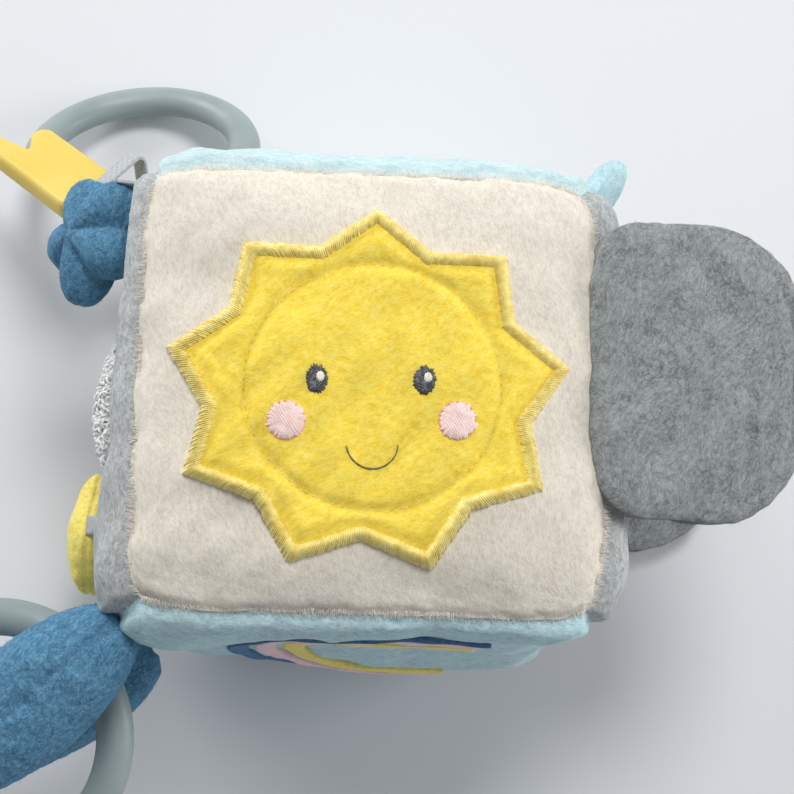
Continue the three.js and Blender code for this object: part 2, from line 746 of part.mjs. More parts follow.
// The tie: a band round the ring's tube and the bolt that lies on it, in the frame of the ring
function boltTie() {
  const halfWidth = boltHalfWidth + loopClearance;
  const low = -(ringHalfHeight + loopClearance);
  const high = boltLift + boltThickness / 2 + loopClearance;
  const corner = tieCornerShare * (high - low);
  const outline = (path, thickness) => {
    const round = corner + thickness;
    path.absarc(halfWidth - corner, low + corner, round, -Math.PI / 2, 0, false);
    path.absarc(halfWidth - corner, high - corner, round, 0, Math.PI / 2, false);
    path.absarc(corner - halfWidth, high - corner, round, Math.PI / 2, Math.PI, false);
    path.absarc(corner - halfWidth, low + corner, round, Math.PI, 1.5 * Math.PI, false);
    return path;
  };
  const shape = outline(new THREE.Shape(), loopThickness);
  shape.holes.push(outline(new THREE.Path(), 0));
  const band = new THREE.ExtrudeGeometry(shape, { depth: tieWidth, bevelEnabled: false, curveSegments: 6 });
  return band.translate(0, 0, -tieWidth / 2);
}

function boltGroup() {
  const teether = mesh("lightning_teether", bolt(), boltRubber);
  teether.position.set(boltLevelShare * ringRadius, boltSlopeShare * ringRadius, boltLift);
  teether.rotation.z = boltTurn;
  const tie = placed(
    heading(tieAngle).multiplyScalar(ringRadius),
    heading(tieTurn + Math.PI / 2),
    heading(tieTurn),
    mesh("teether_tie", boltTie(), webbing),
  );
  return placed(backRingCentre, backAxes.level, backAxes.normal, teether, tie);
}

// The plush star hangs from the back left edge by a short ribbon and leans on the left face
function plushStar() {
  const around = 30;
  const across = new THREE.Vector3(Math.cos(starLean), 0, Math.sin(starLean));
  const normal = new THREE.Vector3(-Math.sin(starLean), 0, Math.cos(starLean));
  const shares = [0.5, 0.84, 1];
  const middle = new THREE.Vector3(-blockHalf - starOut, blockHalf - starIn, blockMiddle.z + starRise);
  const half = (side) => cover(around, starOutline, starHalfThickness, side, starPower, shares);
  const group = new THREE.Group();
  group.add(
    placed(
      middle,
      across,
      normal,
      mesh("plush_star_upper_cover", half(1), blue),
      mesh("plush_star_under_cover", half(-1), blue),
      mesh("plush_star_wadding", wadding(around, starOutline, starHalfThickness, starPower), filling),
    ),
    mesh("plush_star_ribbon", starRibbon(middle, across), webbing),
  );
  return group;
}

// The tip of the star's lobe that the ribbon is sewn to, and the seam point beside it
function starRibbon(middle, across) {
  const tip = middle.clone().addScaledVector(across, starTipRadius * Math.cos(starTurn));
  tip.y += starTipRadius * Math.sin(starTurn);
  const seam = edgePoint(-1, 1, tip.z);
  const along = tip.clone().sub(seam).normalize();
  const start = seam.clone().addScaledVector(along, ribbonThickness + layerGap);
  const end = tip.clone().addScaledVector(along, -layerGap);
  const sideways = new THREE.Vector3().crossVectors(along, up).normalize();
  const section = (share) => {
    const middleLine = start.clone().lerp(end, share);
    const corner = (side, lift) =>
      middleLine
        .clone()
        .addScaledVector(sideways, (side * ribbonThickness) / 2)
        .addScaledVector(up, (lift * starRibbonWidth) / 2);
    return [corner(-1, -1), corner(-1, 1), corner(1, 1), corner(1, -1)];
  };
  return sweptSolid(2, section, false);
}

// The soft charm on the front ring. The two halves of each lobe meet along its top and its underside.
function softCharm() {
  const around = 20;
  const outline = superellipse(lobeLength / 2, lobeHalfThickness, lobeCorner);
  const inward = (turn) => ringDirection(frontAxes, turn - Math.PI / 2);
  const group = new THREE.Group();
  for (const [name, side, turn, nearRadius] of [
    ["upper_lobe", 1, upperLobeTurn, upperLobeNearRadius],
    ["lower_lobe", -1, lowerLobeTurn, lowerLobeNearRadius],
  ]) {
    const along = inward(turn);
    const sideways = new THREE.Vector3().crossVectors(frontAxes.normal, along);
    group.add(
      placed(
        frontRingCentre
          .clone()
          .addScaledVector(along, nearRadius - lobeLength / 2)
          .addScaledVector(frontAxes.normal, side * lobeRise),
        along,
        sideways,
        mesh(name + "_back_cover", cover(around, outline, lobeHalfWidth, 1, lobePower), blue),
        mesh(name + "_front_cover", cover(around, outline, lobeHalfWidth, -1, lobePower), blue),
        mesh(name + "_wadding", wadding(around, outline, lobeHalfWidth, lobePower), filling),
      ),
    );
  }
  const joinRadius = lobeJoinWidth / 2;
  const joinHeight = 2 * (lobeRise - lobeHalfThickness - seamGap / 2 - layerGap);
  const join = new THREE.CylinderGeometry(joinRadius, joinRadius, joinHeight, 16).rotateX(Math.PI / 2);
  const loopInside = ringRadius - ringHalfWidth - loopClearance - loopThickness;
  const along = inward((upperLobeTurn + lowerLobeTurn) / 2);
  const joinMiddle = frontRingCentre.clone().addScaledVector(along, loopInside - layerGap - joinRadius);
  group.add(placed(joinMiddle, along, frontAxes.normal, mesh("lobe_join", join, blue)));
  return group;
}

// The pendants beside the cloud. Their own x points to the front, y up and z out of the left face.
function ribbonStrip(fromZ, toZ, topOut, bottomOut) {
  const section = (share) => {
    const y = fromZ + share * (toZ - fromZ);
    const z = topOut + share * (bottomOut - topOut);
    const half = ribbonWidth / 2;
    return [
      new THREE.Vector3(-half, y, z),
      new THREE.Vector3(half, y, z),
      new THREE.Vector3(half, y, z + ribbonThickness),
      new THREE.Vector3(-half, y, z + ribbonThickness),
    ];
  };
  return sweptSolid(3, section, false);
}

function moonOutline(angle) {
  const from = Math.atan2(Math.sin(angle - moonHollowAt), Math.cos(angle - moonHollowAt));
  return moonRadius * (1 - moonHollowShare * Math.exp(-((from / moonHollowSpread) ** 2)));
}

function moon() {
  const around = 22;
  const shares = [0.5, 0.85, 1];
  const out = crown(moonY, moonZ - blockMiddle.z) + layerGap + moonHalfThickness + seamGap / 2;
  const half = (side) => cover(around, moonOutline, moonHalfThickness, side, plumpPower, shares);
  const group = new THREE.Group();
  group.position.set(-moonY, moonZ - blockMiddle.z, out);
  group.add(
    mesh("moon_outer_cover", half(1), sunYellow),
    mesh("moon_inner_cover", half(-1), sunYellow),
    mesh("moon_wadding", wadding(around, moonOutline, moonHalfThickness, plumpPower), filling),
  );
  const top = moonRibbonTopZ - blockMiddle.z;
  const topOut = crown(moonY, top) + layerGap;
  const bottom = moonZ - blockMiddle.z + moonOutline(Math.PI / 2) + layerGap;
  const strip = ribbonStrip(top, bottom, topOut, out - ribbonThickness / 2).translate(-moonY, 0, 0);
  return onFace("left", group, mesh("moon_ribbon", strip, webbing));
}

function dropOutline(angle) {
  const point = Math.exp(-(((angle - Math.PI / 2) / dropPointSpread) ** 2));
  const ellipse = superellipse(dropHalfWidth, dropHalfHeight, 2);
  return ellipse(angle) * (1 - dropPointShare + dropPointShare * point);
}

function drop() {
  const around = 16;
  const shares = [0.6, 1];
  const out = crown(dropY, dropZ - blockMiddle.z) + dropStandOff + dropHalfThickness + seamGap / 2;
  const group = new THREE.Group();
  group.position.set(-dropY, dropZ - blockMiddle.z, out);
  group.add(
    mesh("drop_outer_cover", cover(around, dropOutline, dropHalfThickness, 1, plumpPower, shares), blue),
    mesh("drop_inner_cover", cover(around, dropOutline, dropHalfThickness, -1, plumpPower, shares), blue),
  );
  const top = dropRibbonTopZ - blockMiddle.z;
  const topOut = crown(dropY, top) + layerGap;
  const bottom = dropZ - blockMiddle.z + dropOutline(Math.PI / 2) + layerGap;
  const strip = ribbonStrip(top, bottom, topOut, out - ribbonThickness / 2).translate(-dropY, 0, 0);
  return onFace("left", group, mesh("drop_ribbon", strip, webbing));
}

const softBlock = new THREE.Group();
softBlock.add(
  mesh("stuffing_core", stuffingCore(), filling),
  mesh("bottom_panel", panel("bottom"), cream),
  mesh("sun_panel", panel("sun"), cream),
  mesh("front_panel", panel("front"), paleBlue),
  mesh("back_panel", panel("back"), paleBlue),
  mesh("left_panel", panel("left"), grey),
  mesh("right_panel", panel("right"), grey),
  mesh("sun_applique", sunSheet(), sunYellow),
  mesh("sun_border", sunBorder(), threadYellow),
  placed(
    blockMiddle,
    heading(topTwist),
    up,
    mesh("eye_left", patch(eyeWidth, eyeLength, -eyeSpacing / 2, eyeBack, 0), threadCharcoal),
    mesh("eye_right", patch(eyeWidth, eyeLength, eyeSpacing / 2, eyeBack, 0), threadCharcoal),
    mesh("glint_left", patch(glintSize, glintSize, glintShift - eyeSpacing / 2, eyeBack, 1), threadWhite),
    mesh("glint_right", patch(glintSize, glintSize, glintShift + eyeSpacing / 2, eyeBack, 1), threadWhite),
    mesh("cheek_left", patch(cheekSize, cheekSize, -cheekSpacing / 2, -cheekForward, 0), threadPink),
    mesh("cheek_right", patch(cheekSize, cheekSize, cheekSpacing / 2, -cheekForward, 0), threadPink),
    mesh("smile", smile(), threadCharcoal),
  ),
  mesh("rainbow_outer_band", rainbowBand(0), threadBlue),
  mesh("rainbow_middle_band", rainbowBand(1), threadPink),
  mesh("rainbow_inner_band", rainbowBand(2), threadYellow),
  mesh("cloud_cover", cloudCover(), white),
  mesh("cloud_wadding", cloudWadding(), filling),
  tab(),
  ear("upper_ear", new THREE.Vector3(sunSeamShare, 0, 1), upperEarY, earLift, upperEarDroop, topTwist),
  ear("lower_ear", new THREE.Vector3(1, 0, -1), lowerEarY, 0, lowerEarDroop, 0),
  ringLoop(
    "back_ring_loop",
    backSeam,
    backLoopHeading,
    backLoopSeat,
    backLoopReach,
    ringDirection(backAxes, backLoopAngle + Math.PI / 2),
  ),
  placed(backRingCentre, backAxes.level, backAxes.normal, mesh("back_ring", ringSolid(), ringPlastic)),
  boltGroup(),
  plushStar(),
  ringLoop(
    "front_ring_loop",
    frontSeam,
    frontLoopHeading,
    frontLoopSeat,
    frontLoopReach,
    frontAxes.level,
  ),
  placed(frontRingCentre, frontAxes.level, frontAxes.normal, mesh("front_ring", ringSolid(), ringPlastic)),
  softCharm(),
  moon(),
  drop(),
);

export default softBlock;
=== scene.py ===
"""Looks of a soft activity block: plush panels, stuffed ears and charms, satin stitching, rings and a teether.

Lengths in this script are millimetres in the frame of the block until make() turns them into metres.
"""

import bpy
import math
import numpy as np
from mathutils import Matrix, Vector


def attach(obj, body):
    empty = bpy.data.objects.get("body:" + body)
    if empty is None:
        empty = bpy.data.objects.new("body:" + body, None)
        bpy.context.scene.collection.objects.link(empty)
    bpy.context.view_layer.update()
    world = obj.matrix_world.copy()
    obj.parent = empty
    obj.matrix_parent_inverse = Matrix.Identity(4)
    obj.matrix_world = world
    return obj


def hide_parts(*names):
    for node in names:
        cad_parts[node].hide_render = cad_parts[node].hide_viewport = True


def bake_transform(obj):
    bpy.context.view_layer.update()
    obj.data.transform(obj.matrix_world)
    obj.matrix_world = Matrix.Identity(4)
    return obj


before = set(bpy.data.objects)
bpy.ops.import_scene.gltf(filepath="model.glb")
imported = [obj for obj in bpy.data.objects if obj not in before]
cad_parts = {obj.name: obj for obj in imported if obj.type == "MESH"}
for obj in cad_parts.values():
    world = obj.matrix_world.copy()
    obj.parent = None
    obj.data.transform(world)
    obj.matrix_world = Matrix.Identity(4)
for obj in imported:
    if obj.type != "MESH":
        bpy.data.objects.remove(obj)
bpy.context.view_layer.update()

MM = 0.001
X, Y, UP = np.eye(3)

# The block has its solids' sizes, but the seam of its sun panel lies further out, as in the photograph
BLOCK_HALF, BLOCK_POWER = 61.0, 5.5
CREASE_DEPTH, CREASE_WIDTH = 1.6, 3.2
SUN_SEAM_SHARE, EAR_SEAM_SHARE = 0.95, 0.88
TOP_TWIST = math.radians(3)
BASE_FLAT = 0.5
PANEL_FABRIC = 2.2
LAYER_GAP = 0.35
STUFFING_GAP = 2.6
BLOCK_MIDDLE = np.array([0.0, 0.0, BLOCK_HALF - BASE_FLAT])
FRONT_LEAN, FRONT_TUCK, LEFT_SLACK = 5.6, 1.5, 2.6

SUN_TIP, SUN_VALLEY, SUN_TIPS = 45.3, 36.6, 9
SUN_TURN = math.radians(8.5)
SUN_WIDTH, SUN_DEPTH, SUN_FORWARD = 1.03, 0.935, 1.2
SUN_FABRIC = 1.6
BORDER_WIDTH, BORDER_HEIGHT = 3.6, 2.1
QUILT_RADIUS, QUILT_FLAT = 29.0, 0.97
QUILT_CENTRE = np.array([1.0, -0.7])
STITCH_HEIGHT = 0.6

RING_RADIUS, RING_HALF_WIDTH, RING_HALF_HEIGHT = 29.5, 4.6, 4.1

# Each face's directions across it, up it and out of it
AXES = {
    "sun": [(1, 0, 0), (0, 1, 0), (0, 0, 1)],
    "bottom": [(1, 0, 0), (0, -1, 0), (0, 0, -1)],
    "front": [(1, 0, 0), (0, 0, 1), (0, -1, 0)],
    "back": [(-1, 0, 0), (0, 0, 1), (0, 1, 0)],
    "left": [(0, -1, 0), (0, 0, 1), (-1, 0, 0)],
    "right": [(0, 1, 0), (0, 0, 1), (1, 0, 0)],
}
AXES = {name: np.array(axes, float) for name, axes in AXES.items()}


# Small functions of numbers and directions
def bell(value, width):
    """A smooth bump that is 1 where the value is 0."""
    return np.exp(-((value / width) ** 2))


def step(value, low, high):
    """0 below low, 1 above high, and smooth between them."""
    value = np.clip((value - low) / (high - low), 0, 1)
    return value * value * (3 - 2 * value)


def unit(vectors):
    return vectors / np.linalg.norm(vectors, axis=-1, keepdims=True)


def circle(count):
    return 2 * math.pi * np.arange(count) / count


def polar(points):
    return np.arctan2(points[:, 1], points[:, 0]), np.hypot(points[:, 0], points[:, 1])


def heading(degrees):
    return np.array([math.cos(math.radians(degrees)), math.sin(math.radians(degrees)), 0.0])


def hoop(centre, size, side, other, count):
    """Points round a centre, in the plane of two directions."""
    turns = circle(count)[:, None]
    return centre + size * (np.cos(turns) * side + np.sin(turns) * other)


def placed(points, origin, x_axis, z_axis):
    x_axis, z_axis = np.asarray(x_axis, float), np.asarray(z_axis, float)
    y_axis = np.cross(z_axis, x_axis)
    return np.asarray(origin) + points @ np.stack([x_axis, y_axis, z_axis])


class Waves:
    """Smooth irregularity: a sum of a few waves in set directions, about as long as the length."""

    def __init__(self, seed, length, count=12):
        draw = np.random.RandomState(seed)
        ways = unit(draw.normal(size=(count, 3)))
        self.waves = ways * (2 * math.pi / length * draw.uniform(0.6, 1.5, count))[:, None]
        self.phases = draw.uniform(0, 2 * math.pi, count)
        self.scale = math.sqrt(2 / count)

    def __call__(self, points):
        return np.sin(points @ self.waves.T + self.phases).sum(1) * self.scale


lumps = Waves(3, 36)
folds = Waves(4, 11)
tufts = Waves(5, 2.9, 16)
puckers = Waves(6, 5.5)
wander = [Waves(seed, 17) for seed in (7, 8, 9)]


# Meshes. A form is its points and its faces
def outward(points, faces):
    """The faces of a closed form, turned so that they look out."""
    points = np.asarray(points) - np.mean(points, axis=0)
    triangles = np.array([(face[0], face[k], face[k + 1]) for face in faces for k in range(1, len(face) - 1)])
    a, b, c = (points[triangles[:, k]] for k in range(3))
    volume = (a * np.cross(b, c)).sum()
    return faces if volume > 0 else [face[::-1] for face in faces]


def linked(name, data):
    thing = bpy.data.objects.new(name, data)
    bpy.context.scene.collection.objects.link(thing)
    return thing


def shade_smooth(mesh):
    mesh.polygons.foreach_set("use_smooth", np.ones(len(mesh.polygons), bool))


def points_of(mesh):
    return np.array([vertex.co for vertex in mesh.vertices]) / MM


def set_points(mesh, points):
    mesh.vertices.foreach_set("co", (points * MM).ravel())


def apply(piece, kind, **settings):
    """Changes a piece by a modifier."""
    bpy.context.view_layer.objects.active = piece
    modifier = piece.modifiers.new(kind.lower(), kind)
    for key, value in settings.items():
        setattr(modifier, key, value)
    bpy.ops.object.modifier_apply(modifier=modifier.name)


def make(name, form, material, replaces=(), body="soft_block", closed=True):
    """A piece that rides on a body and stands for some solids. None of it is under the floor."""
    points, faces = np.array(form[0], float), form[1]
    points[:, 2] = np.maximum(points[:, 2], 0)
    if closed:
        faces = outward(points, faces)
    mesh = bpy.data.meshes.new(name)
    mesh.from_pydata((points * MM).tolist(), [], faces)
    mesh.validate()
    shade_smooth(mesh)
    piece = linked(name, mesh)
    mesh.materials.append(material)
    mesh.update()
    if body:
        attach(piece, body)
    if replaces:
        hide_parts(*replaces)
    return piece


def grid_faces(columns, rows, wrap=False):
    i, j = np.meshgrid(np.arange(columns if wrap else columns - 1), np.arange(rows - 1))
    i, j = i.ravel(), j.ravel()
    following = (i + 1) % columns
    quads = [j * columns + i, j * columns + following, (j + 1) * columns + following, (j + 1) * columns + i]
    return np.stack(quads, 1).tolist()


def disc_faces(around, rings):
    """Faces of a closed disc: rings from the middle out, one more under the edge, and the middle point."""
    faces = [face[::-1] for face in grid_faces(around, rings + 1, True)]
    last = around * (rings + 1)
    faces += [[last, i, (i + 1) % around] for i in range(around)]
    faces.append([rings * around + i for i in range(around)][::-1])
    return faces


def joined(forms):
    points, faces, count = [], [], 0
    for some_points, some_faces in forms:
        points.append(np.asarray(some_points))
        faces += [[v + count for v in face] for face in some_faces]
        count += len(some_points)
    return np.concatenate(points), faces


def tube(sections, closed_hoop=False):
    """A closed tube: a hoop of sections, or a run of sections with both ends closed."""
    sections = np.asarray(sections)
    stations, sides = sections.shape[:2]
    faces = []
    for s in range(stations if closed_hoop else stations - 1):
        near, far = s * sides, ((s + 1) % stations) * sides
        for k in range(sides):
            n = (k + 1) % sides
            faces.append([near + k, near + n, far + n, far + k])
    if not closed_hoop:
        faces.append(list(range(sides))[::-1])
        faces.append([(stations - 1) * sides + k for k in range(sides)])
    return sections.reshape(-1, 3), faces


def capsule(start, stop, radius, rings=4, sides=6):
    """A short thread with rounded ends."""
    along = unit(stop - start)
    side = unit(np.cross(along, UP if abs(along[2]) < 0.9 else X))
    other = np.cross(along, side)
    sections = []
    for k in range(rings):
        t = k / (rings - 1)
        size = radius * (0.35 + 0.65 * math.sin(math.pi * t) ** 0.5)
        sections.append(hoop(start + (stop - start) * t, size, side, other, sides))
    return tube(sections)


def grid_normals(points, columns, rows):
    grid = points.reshape(rows, columns, 3)
    normals = np.cross(np.gradient(grid, axis=1), np.gradient(grid, axis=0)).reshape(-1, 3)
    return normals / np.maximum(np.linalg.norm(normals, axis=1), 1e-9)[:, None]


# The block's skin
def wrung(points):
    turn = TOP_TWIST * np.maximum(0, points[:, 2]) / BLOCK_HALF
    c, s = np.cos(turn), np.sin(turn)
    x, y = points[:, 0], points[:, 1]
    return np.stack([c * x - s * y, s * x + c * y, points[:, 2]], 1)


def skin(directions):
    """The creased surface in some directions, and how far each point is from a seam."""
    shares = np.abs(directions)
    reach = BLOCK_HALF / (shares**BLOCK_POWER).sum(1) ** (1 / BLOCK_POWER)
    shares[directions[:, 2] > 0, 2] *= SUN_SEAM_SHARE
    shares = np.sort(shares, 1)
    seam = (shares[:, 2] - shares[:, 1]) * reach
    drawn = CREASE_DEPTH * bell(seam, CREASE_WIDTH)
    return directions * (reach * (1 - drawn / BLOCK_HALF))[:, None], seam


def crown(x, y):
    left = 1 - np.abs(x / BLOCK_HALF) ** BLOCK_POWER - np.abs(y / BLOCK_HALF) ** BLOCK_POWER
    return BLOCK_HALF * np.maximum(left, 1e-6) ** (1 / BLOCK_POWER)


def swelling(points):
    return 0.5 * lumps(points) + 0.12 * folds(points)


def settled(points):
    """How the filled block lies: top drawn out to the corners, front leaning back, left face slack.

    Each step gives the heights or places between which a change sets in.
    """
    x, y, z = points.T
    span, left_drawn, right_drawn, corner_drawn = 50, -1.4, 4.6, 1.8
    u, v = np.clip(x / span, -1.1, 1.1), np.clip(y / span, -1.1, 1.1)
    high = step(z, BLOCK_MIDDLE[2], BLOCK_MIDDLE[2] + span)
    side = left_drawn * (1 - u) / 2 + (right_drawn - v - 3.6 * v**2) * (1 + u) / 2
    corner = corner_drawn * np.abs(u * v) ** 4
    lean = FRONT_LEAN * step(z, 46, 84) * (1 - step(z, 92, 116)) + FRONT_TUCK * step(-z, -52, -24)
    lean *= step(x, -44, -4) * step(-y, 40, 54)
    slack = LEFT_SLACK * step(z, 25, 55) * (1 - step(z, 104, 113)) * step(y, -38, -8) * step(-x, 40, 54)
    moved = points.copy()
    moved[:, 0] += high * (side + corner * np.sign(x)) + slack
    moved[:, 1] += high * corner * np.sign(y) + lean
    return moved


def face_points(face, x, y, lift):
    """Points over a face, at places across and up it, lifted off the surface."""
    x, y, lift = np.broadcast_arrays(np.asarray(x, float), y, lift)
    local = np.stack([x, y, crown(x, y) + lift], 1)
    points = wrung(local @ AXES[face]) + BLOCK_MIDDLE
    points += AXES[face][2] * swelling(points)[:, None]
    return settled(points) if face in ("front", "left") else points


def edge_point(sign_x, sign_y, z):
    """A point on an upright seam."""
    rise = abs(z - BLOCK_MIDDLE[2]) / BLOCK_HALF
    across = ((1 - rise**BLOCK_POWER) / 2) ** (1 / BLOCK_POWER)
    out = BLOCK_HALF * across - CREASE_DEPTH / math.sqrt(2)
    point = np.array([[sign_x * out, sign_y * out, z - BLOCK_MIDDLE[2]]])
    return (wrung(point) + BLOCK_MIDDLE)[0]


def panel(face, material, cells=124, rim=2):
    """One face of the skin, with its rim tucked in under the seams."""
    side = down = high = 1
    if face == "sun":
        side = down = high = SUN_SEAM_SHARE
    elif face != "bottom":
        high = 1 / SUN_SEAM_SHARE
    steps = np.arange(-rim, cells + 1 + rim)
    spread = np.sin((np.clip(steps / cells, 0, 1) - 0.5) * math.pi)
    tucked = np.maximum(0, np.maximum(-steps, steps - cells)) / rim
    depth = np.maximum(*np.meshgrid(tucked, tucked)).ravel() * PANEL_FABRIC
    i, j = (grid.ravel() for grid in np.meshgrid(spread, spread))
    directions = np.stack([i * side, (high - down) / 2 + (high + down) / 2 * j, np.ones_like(i)], 1) @ AXES[face]
    bare, seam = skin(directions)
    points = wrung(bare) + BLOCK_MIDDLE
    normals = grid_normals(points, len(steps), len(steps))
    by_seam = bell(seam, 7)
    lift = swelling(points) * (1 - by_seam) + 0.13 * puckers(points) * by_seam + 0.05 * tufts(points)
    if face == "sun":
        lift += 0.5 * bell(seam, 2.4)
    seam_wander = 0.25 * np.stack([wave(points) for wave in wander], 1)
    inner_share, inner_depth = 0.94, 3.6
    inward = (wrung(bare * inner_share) + BLOCK_MIDDLE - points) * (depth / inner_depth)[:, None]
    form = settled(points + normals * lift[:, None] + seam_wander + inward), grid_faces(len(steps), len(steps))
    make(face + "_panel_plush", form, material, [face + "_panel"], closed=False)


# Materials
WHITE = (1, 1, 1, 1)


def linear(code):
    channels = [int(code[k : k + 2], 16) / 255 for k in (0, 2, 4)]
    return tuple(c / 12.92 if c <= 0.04045 else ((c + 0.055) / 1.055) ** 2.4 for c in channels) + (1.0,)


class Nodes:
    """A material, with short ways to build its nodes. Scales are waves per metre."""

    def __init__(self, name):
        self.material = bpy.data.materials.new(name)
        self.material.use_nodes = True
        self.tree = self.material.node_tree
        self.shader = self.tree.nodes["Principled BSDF"]
        self.place = self.add("TexCoord", {}).outputs["Object"]

    def feed(self, node, inputs):
        """Links or sets a node's inputs, given by name or number."""
        for key, value in inputs.items():
            if isinstance(value, bpy.types.NodeSocket):
                self.tree.links.new(value, node.inputs[key])
            elif value is not None:
                node.inputs[key].default_value = value

    def add(self, kind, inputs, **settings):
        node = self.tree.nodes.new("ShaderNode" + kind)
        for key, value in settings.items():
            setattr(node, key, value)
        self.feed(node, inputs)
        return node

    def noise(self, place, scale, detail=2.0, roughness=0.55, output="Fac"):
        inputs = {"Vector": place, "Scale": scale, "Detail": detail, "Roughness": roughness}
        return self.add("TexNoise", inputs).outputs[output]

    def maths(self, operation, *values):
        return self.add("Math", dict(enumerate(values)), operation=operation).outputs[0]

    def vector(self, operation, inputs):
        return self.add("VectorMath", inputs, operation=operation).outputs[0]

    def shared(self, first, second, share):
        """The first value by its share and the second by the rest."""
        return self.maths("MULTIPLY_ADD", first, share, self.maths("MULTIPLY", second, 1 - share))

    def ramp(self, factor, *stops):
        node = self.add("ValToRGB", {"Fac": factor})
        elements = node.color_ramp.elements
        while len(elements) < len(stops):
            elements.new(0.5)
        for element, (position, colour) in zip(elements, stops):
            element.position = position
            element.color = colour
        return node.outputs["Color"]

    def multiplied(self, share, first, second):
        inputs = {"Factor": share, 6: first, 7: second}
        return self.add("Mix", inputs, data_type="RGBA", blend_type="MULTIPLY").outputs[2]

    def bump(self, height, strength, distance, normal=None):
        inputs = {"Strength": strength, "Distance": distance * MM, "Height": height, "Normal": normal}
        return self.add("Bump", inputs).outputs["Normal"]

    def stretched(self, place, nap, along):
        """The place with everything along the nap drawn out."""
        turn = Vector(nap).to_track_quat("X", "Z").to_euler()
        turned = self.add("Mapping", {"Rotation": turn, "Vector": place}, vector_type="TEXTURE")
        return self.add("Mapping", {"Scale": (along, 1, 1), "Vector": turned.outputs[0]}).outputs[0]

    def warped(self, place, scale, amount):
        """The place moved about a little, so that what follows it wanders."""
        noise = self.noise(place, scale, 1.0, output="Color")
        centred = self.vector("SUBTRACT", {0: noise, 1: (0.5, 0.5, 0.5)})
        return self.vector("ADD", {0: place, 1: self.vector("SCALE", {0: centred, "Scale": amount * MM})})

    def surface(self, colour, normal, values):
        self.feed(self.shader, {"Base Color": colour, "Normal": normal, **values})
        return self.material


def plush(name, root, body, tip, nap, pile, depth, patches, sheen=0.3, drift=6, parting_shade=0.0):
    """Short cut pile: strands along the nap, small clumps, and patches where it is stroked apart. Its colour holds
    painted shade low in the pile and along the partings, and painted light at the tips.
    """
    nodes = Nodes(name)
    moved = nodes.warped(nodes.place, 60, drift)
    strand_scale, clump_scale, stroke_scale, broad_scale, line_scale = 2700 / pile, 900 / pile, 150, 34, 520
    strands = nodes.noise(nodes.stretched(moved, nap, 0.42), strand_scale, 2.0, 0.6)
    clumps = nodes.noise(nodes.stretched(moved, nap, 0.55), clump_scale, 2.0, 0.5)
    stroked = nodes.noise(moved, stroke_scale, 2.0, 0.5)
    broad = nodes.noise(nodes.place, broad_scale)
    height = nodes.shared(strands, clumps, 0.55)
    # painted shade and light: the colour is darker where the pile's height is low, between the clumps, and lighter
    # at the tips
    painted_pile_shade = nodes.ramp(height, (0.36, linear(root)), (0.5, linear(body)), (0.64, linear(tip)))
    patchy = nodes.ramp(nodes.shared(stroked, broad, 0.55), (0.4, (0.78, 0.78, 0.79, 1)), (0.58, WHITE))
    colour = nodes.multiplied(patches, painted_pile_shade, patchy)
    if parting_shade:
        # painted shade: dark lines where the pile parts
        lines = nodes.noise(nodes.warped(nodes.place, 300, 3), line_scale, 2.0, 0.5)
        away = nodes.maths("ABSOLUTE", nodes.maths("SUBTRACT", lines, 0.5))
        away = nodes.maths("MULTIPLY_ADD", stroked, 0.16, away)
        painted_parting_shade = nodes.ramp(away, (0.08, (0.3, 0.3, 0.31, 1)), (0.115, WHITE))
        colour = nodes.multiplied(parting_shade, colour, painted_parting_shade)
    coarse = nodes.bump(stroked, 0.3, 0.9 * depth)
    return nodes.surface(colour, nodes.bump(height, 0.5, 0.55 * depth, coarse), {
        "Roughness": 0.95, "Specular IOR Level": 0.12,
        "Sheen Weight": sheen, "Sheen Roughness": 0.45, "Sheen Tint": linear(tip)})


def thread(name, dark, light, scale=900, gloss=0.42):
    """Embroidery thread with a silky sheen and fine plies."""
    nodes = Nodes(name)
    plies = nodes.noise(nodes.place, scale, 3.0, 0.6)
    value = nodes.shared(plies, nodes.noise(nodes.place, 260), 0.6)
    colour = nodes.ramp(value, (0.32, linear(dark)), (0.62, linear(light)))
    return nodes.surface(colour, nodes.bump(plies, 0.5, 0.14), {
        "Roughness": gloss, "Sheen Weight": 0.25, "Sheen Roughness": 0.3})


def woven(name, dark, light, pitch):
    """A narrow woven tape: ribs across it, and fine yarn."""
    nodes = Nodes(name)
    inputs = {"Scale": 1 / (pitch * MM) / (2 * math.pi), "Distortion": 1.2, "Detail Scale": 3, "Vector": nodes.place}
    ribs = nodes.add("TexWave", inputs, wave_type="BANDS", bands_direction="DIAGONAL").outputs["Fac"]
    value = nodes.shared(ribs, nodes.noise(nodes.place, 1500), 0.22)
    colour = nodes.ramp(value, (0.2, linear(dark)), (0.8, linear(light)))
    return nodes.surface(colour, nodes.bump(value, 0.6, 0.3), {"Roughness": 0.85})


def moulded(name, dark, light, rough, grain):
    """Matt plastic or rubber: faintly cloudy, with a fine grain and rubbed places."""
    nodes = Nodes(name)
    cloudy = nodes.noise(nodes.place, 38, 3.0)
    fine = nodes.noise(nodes.place, 2600)
    rubbed = nodes.noise(nodes.place, 120, 4.0, 0.65)
    rubbing = 0.22
    colour = nodes.ramp(cloudy, (0.3, linear(dark)), (0.7, linear(light)))
    return nodes.surface(colour, nodes.bump(fine, 0.25, grain), {
        "Roughness": nodes.maths("MULTIPLY_ADD", rubbed, rubbing, rough - rubbing / 2), "Specular IOR Level": 0.45,
        "Subsurface Weight": 0.06, "Subsurface Scale": 2 * MM})
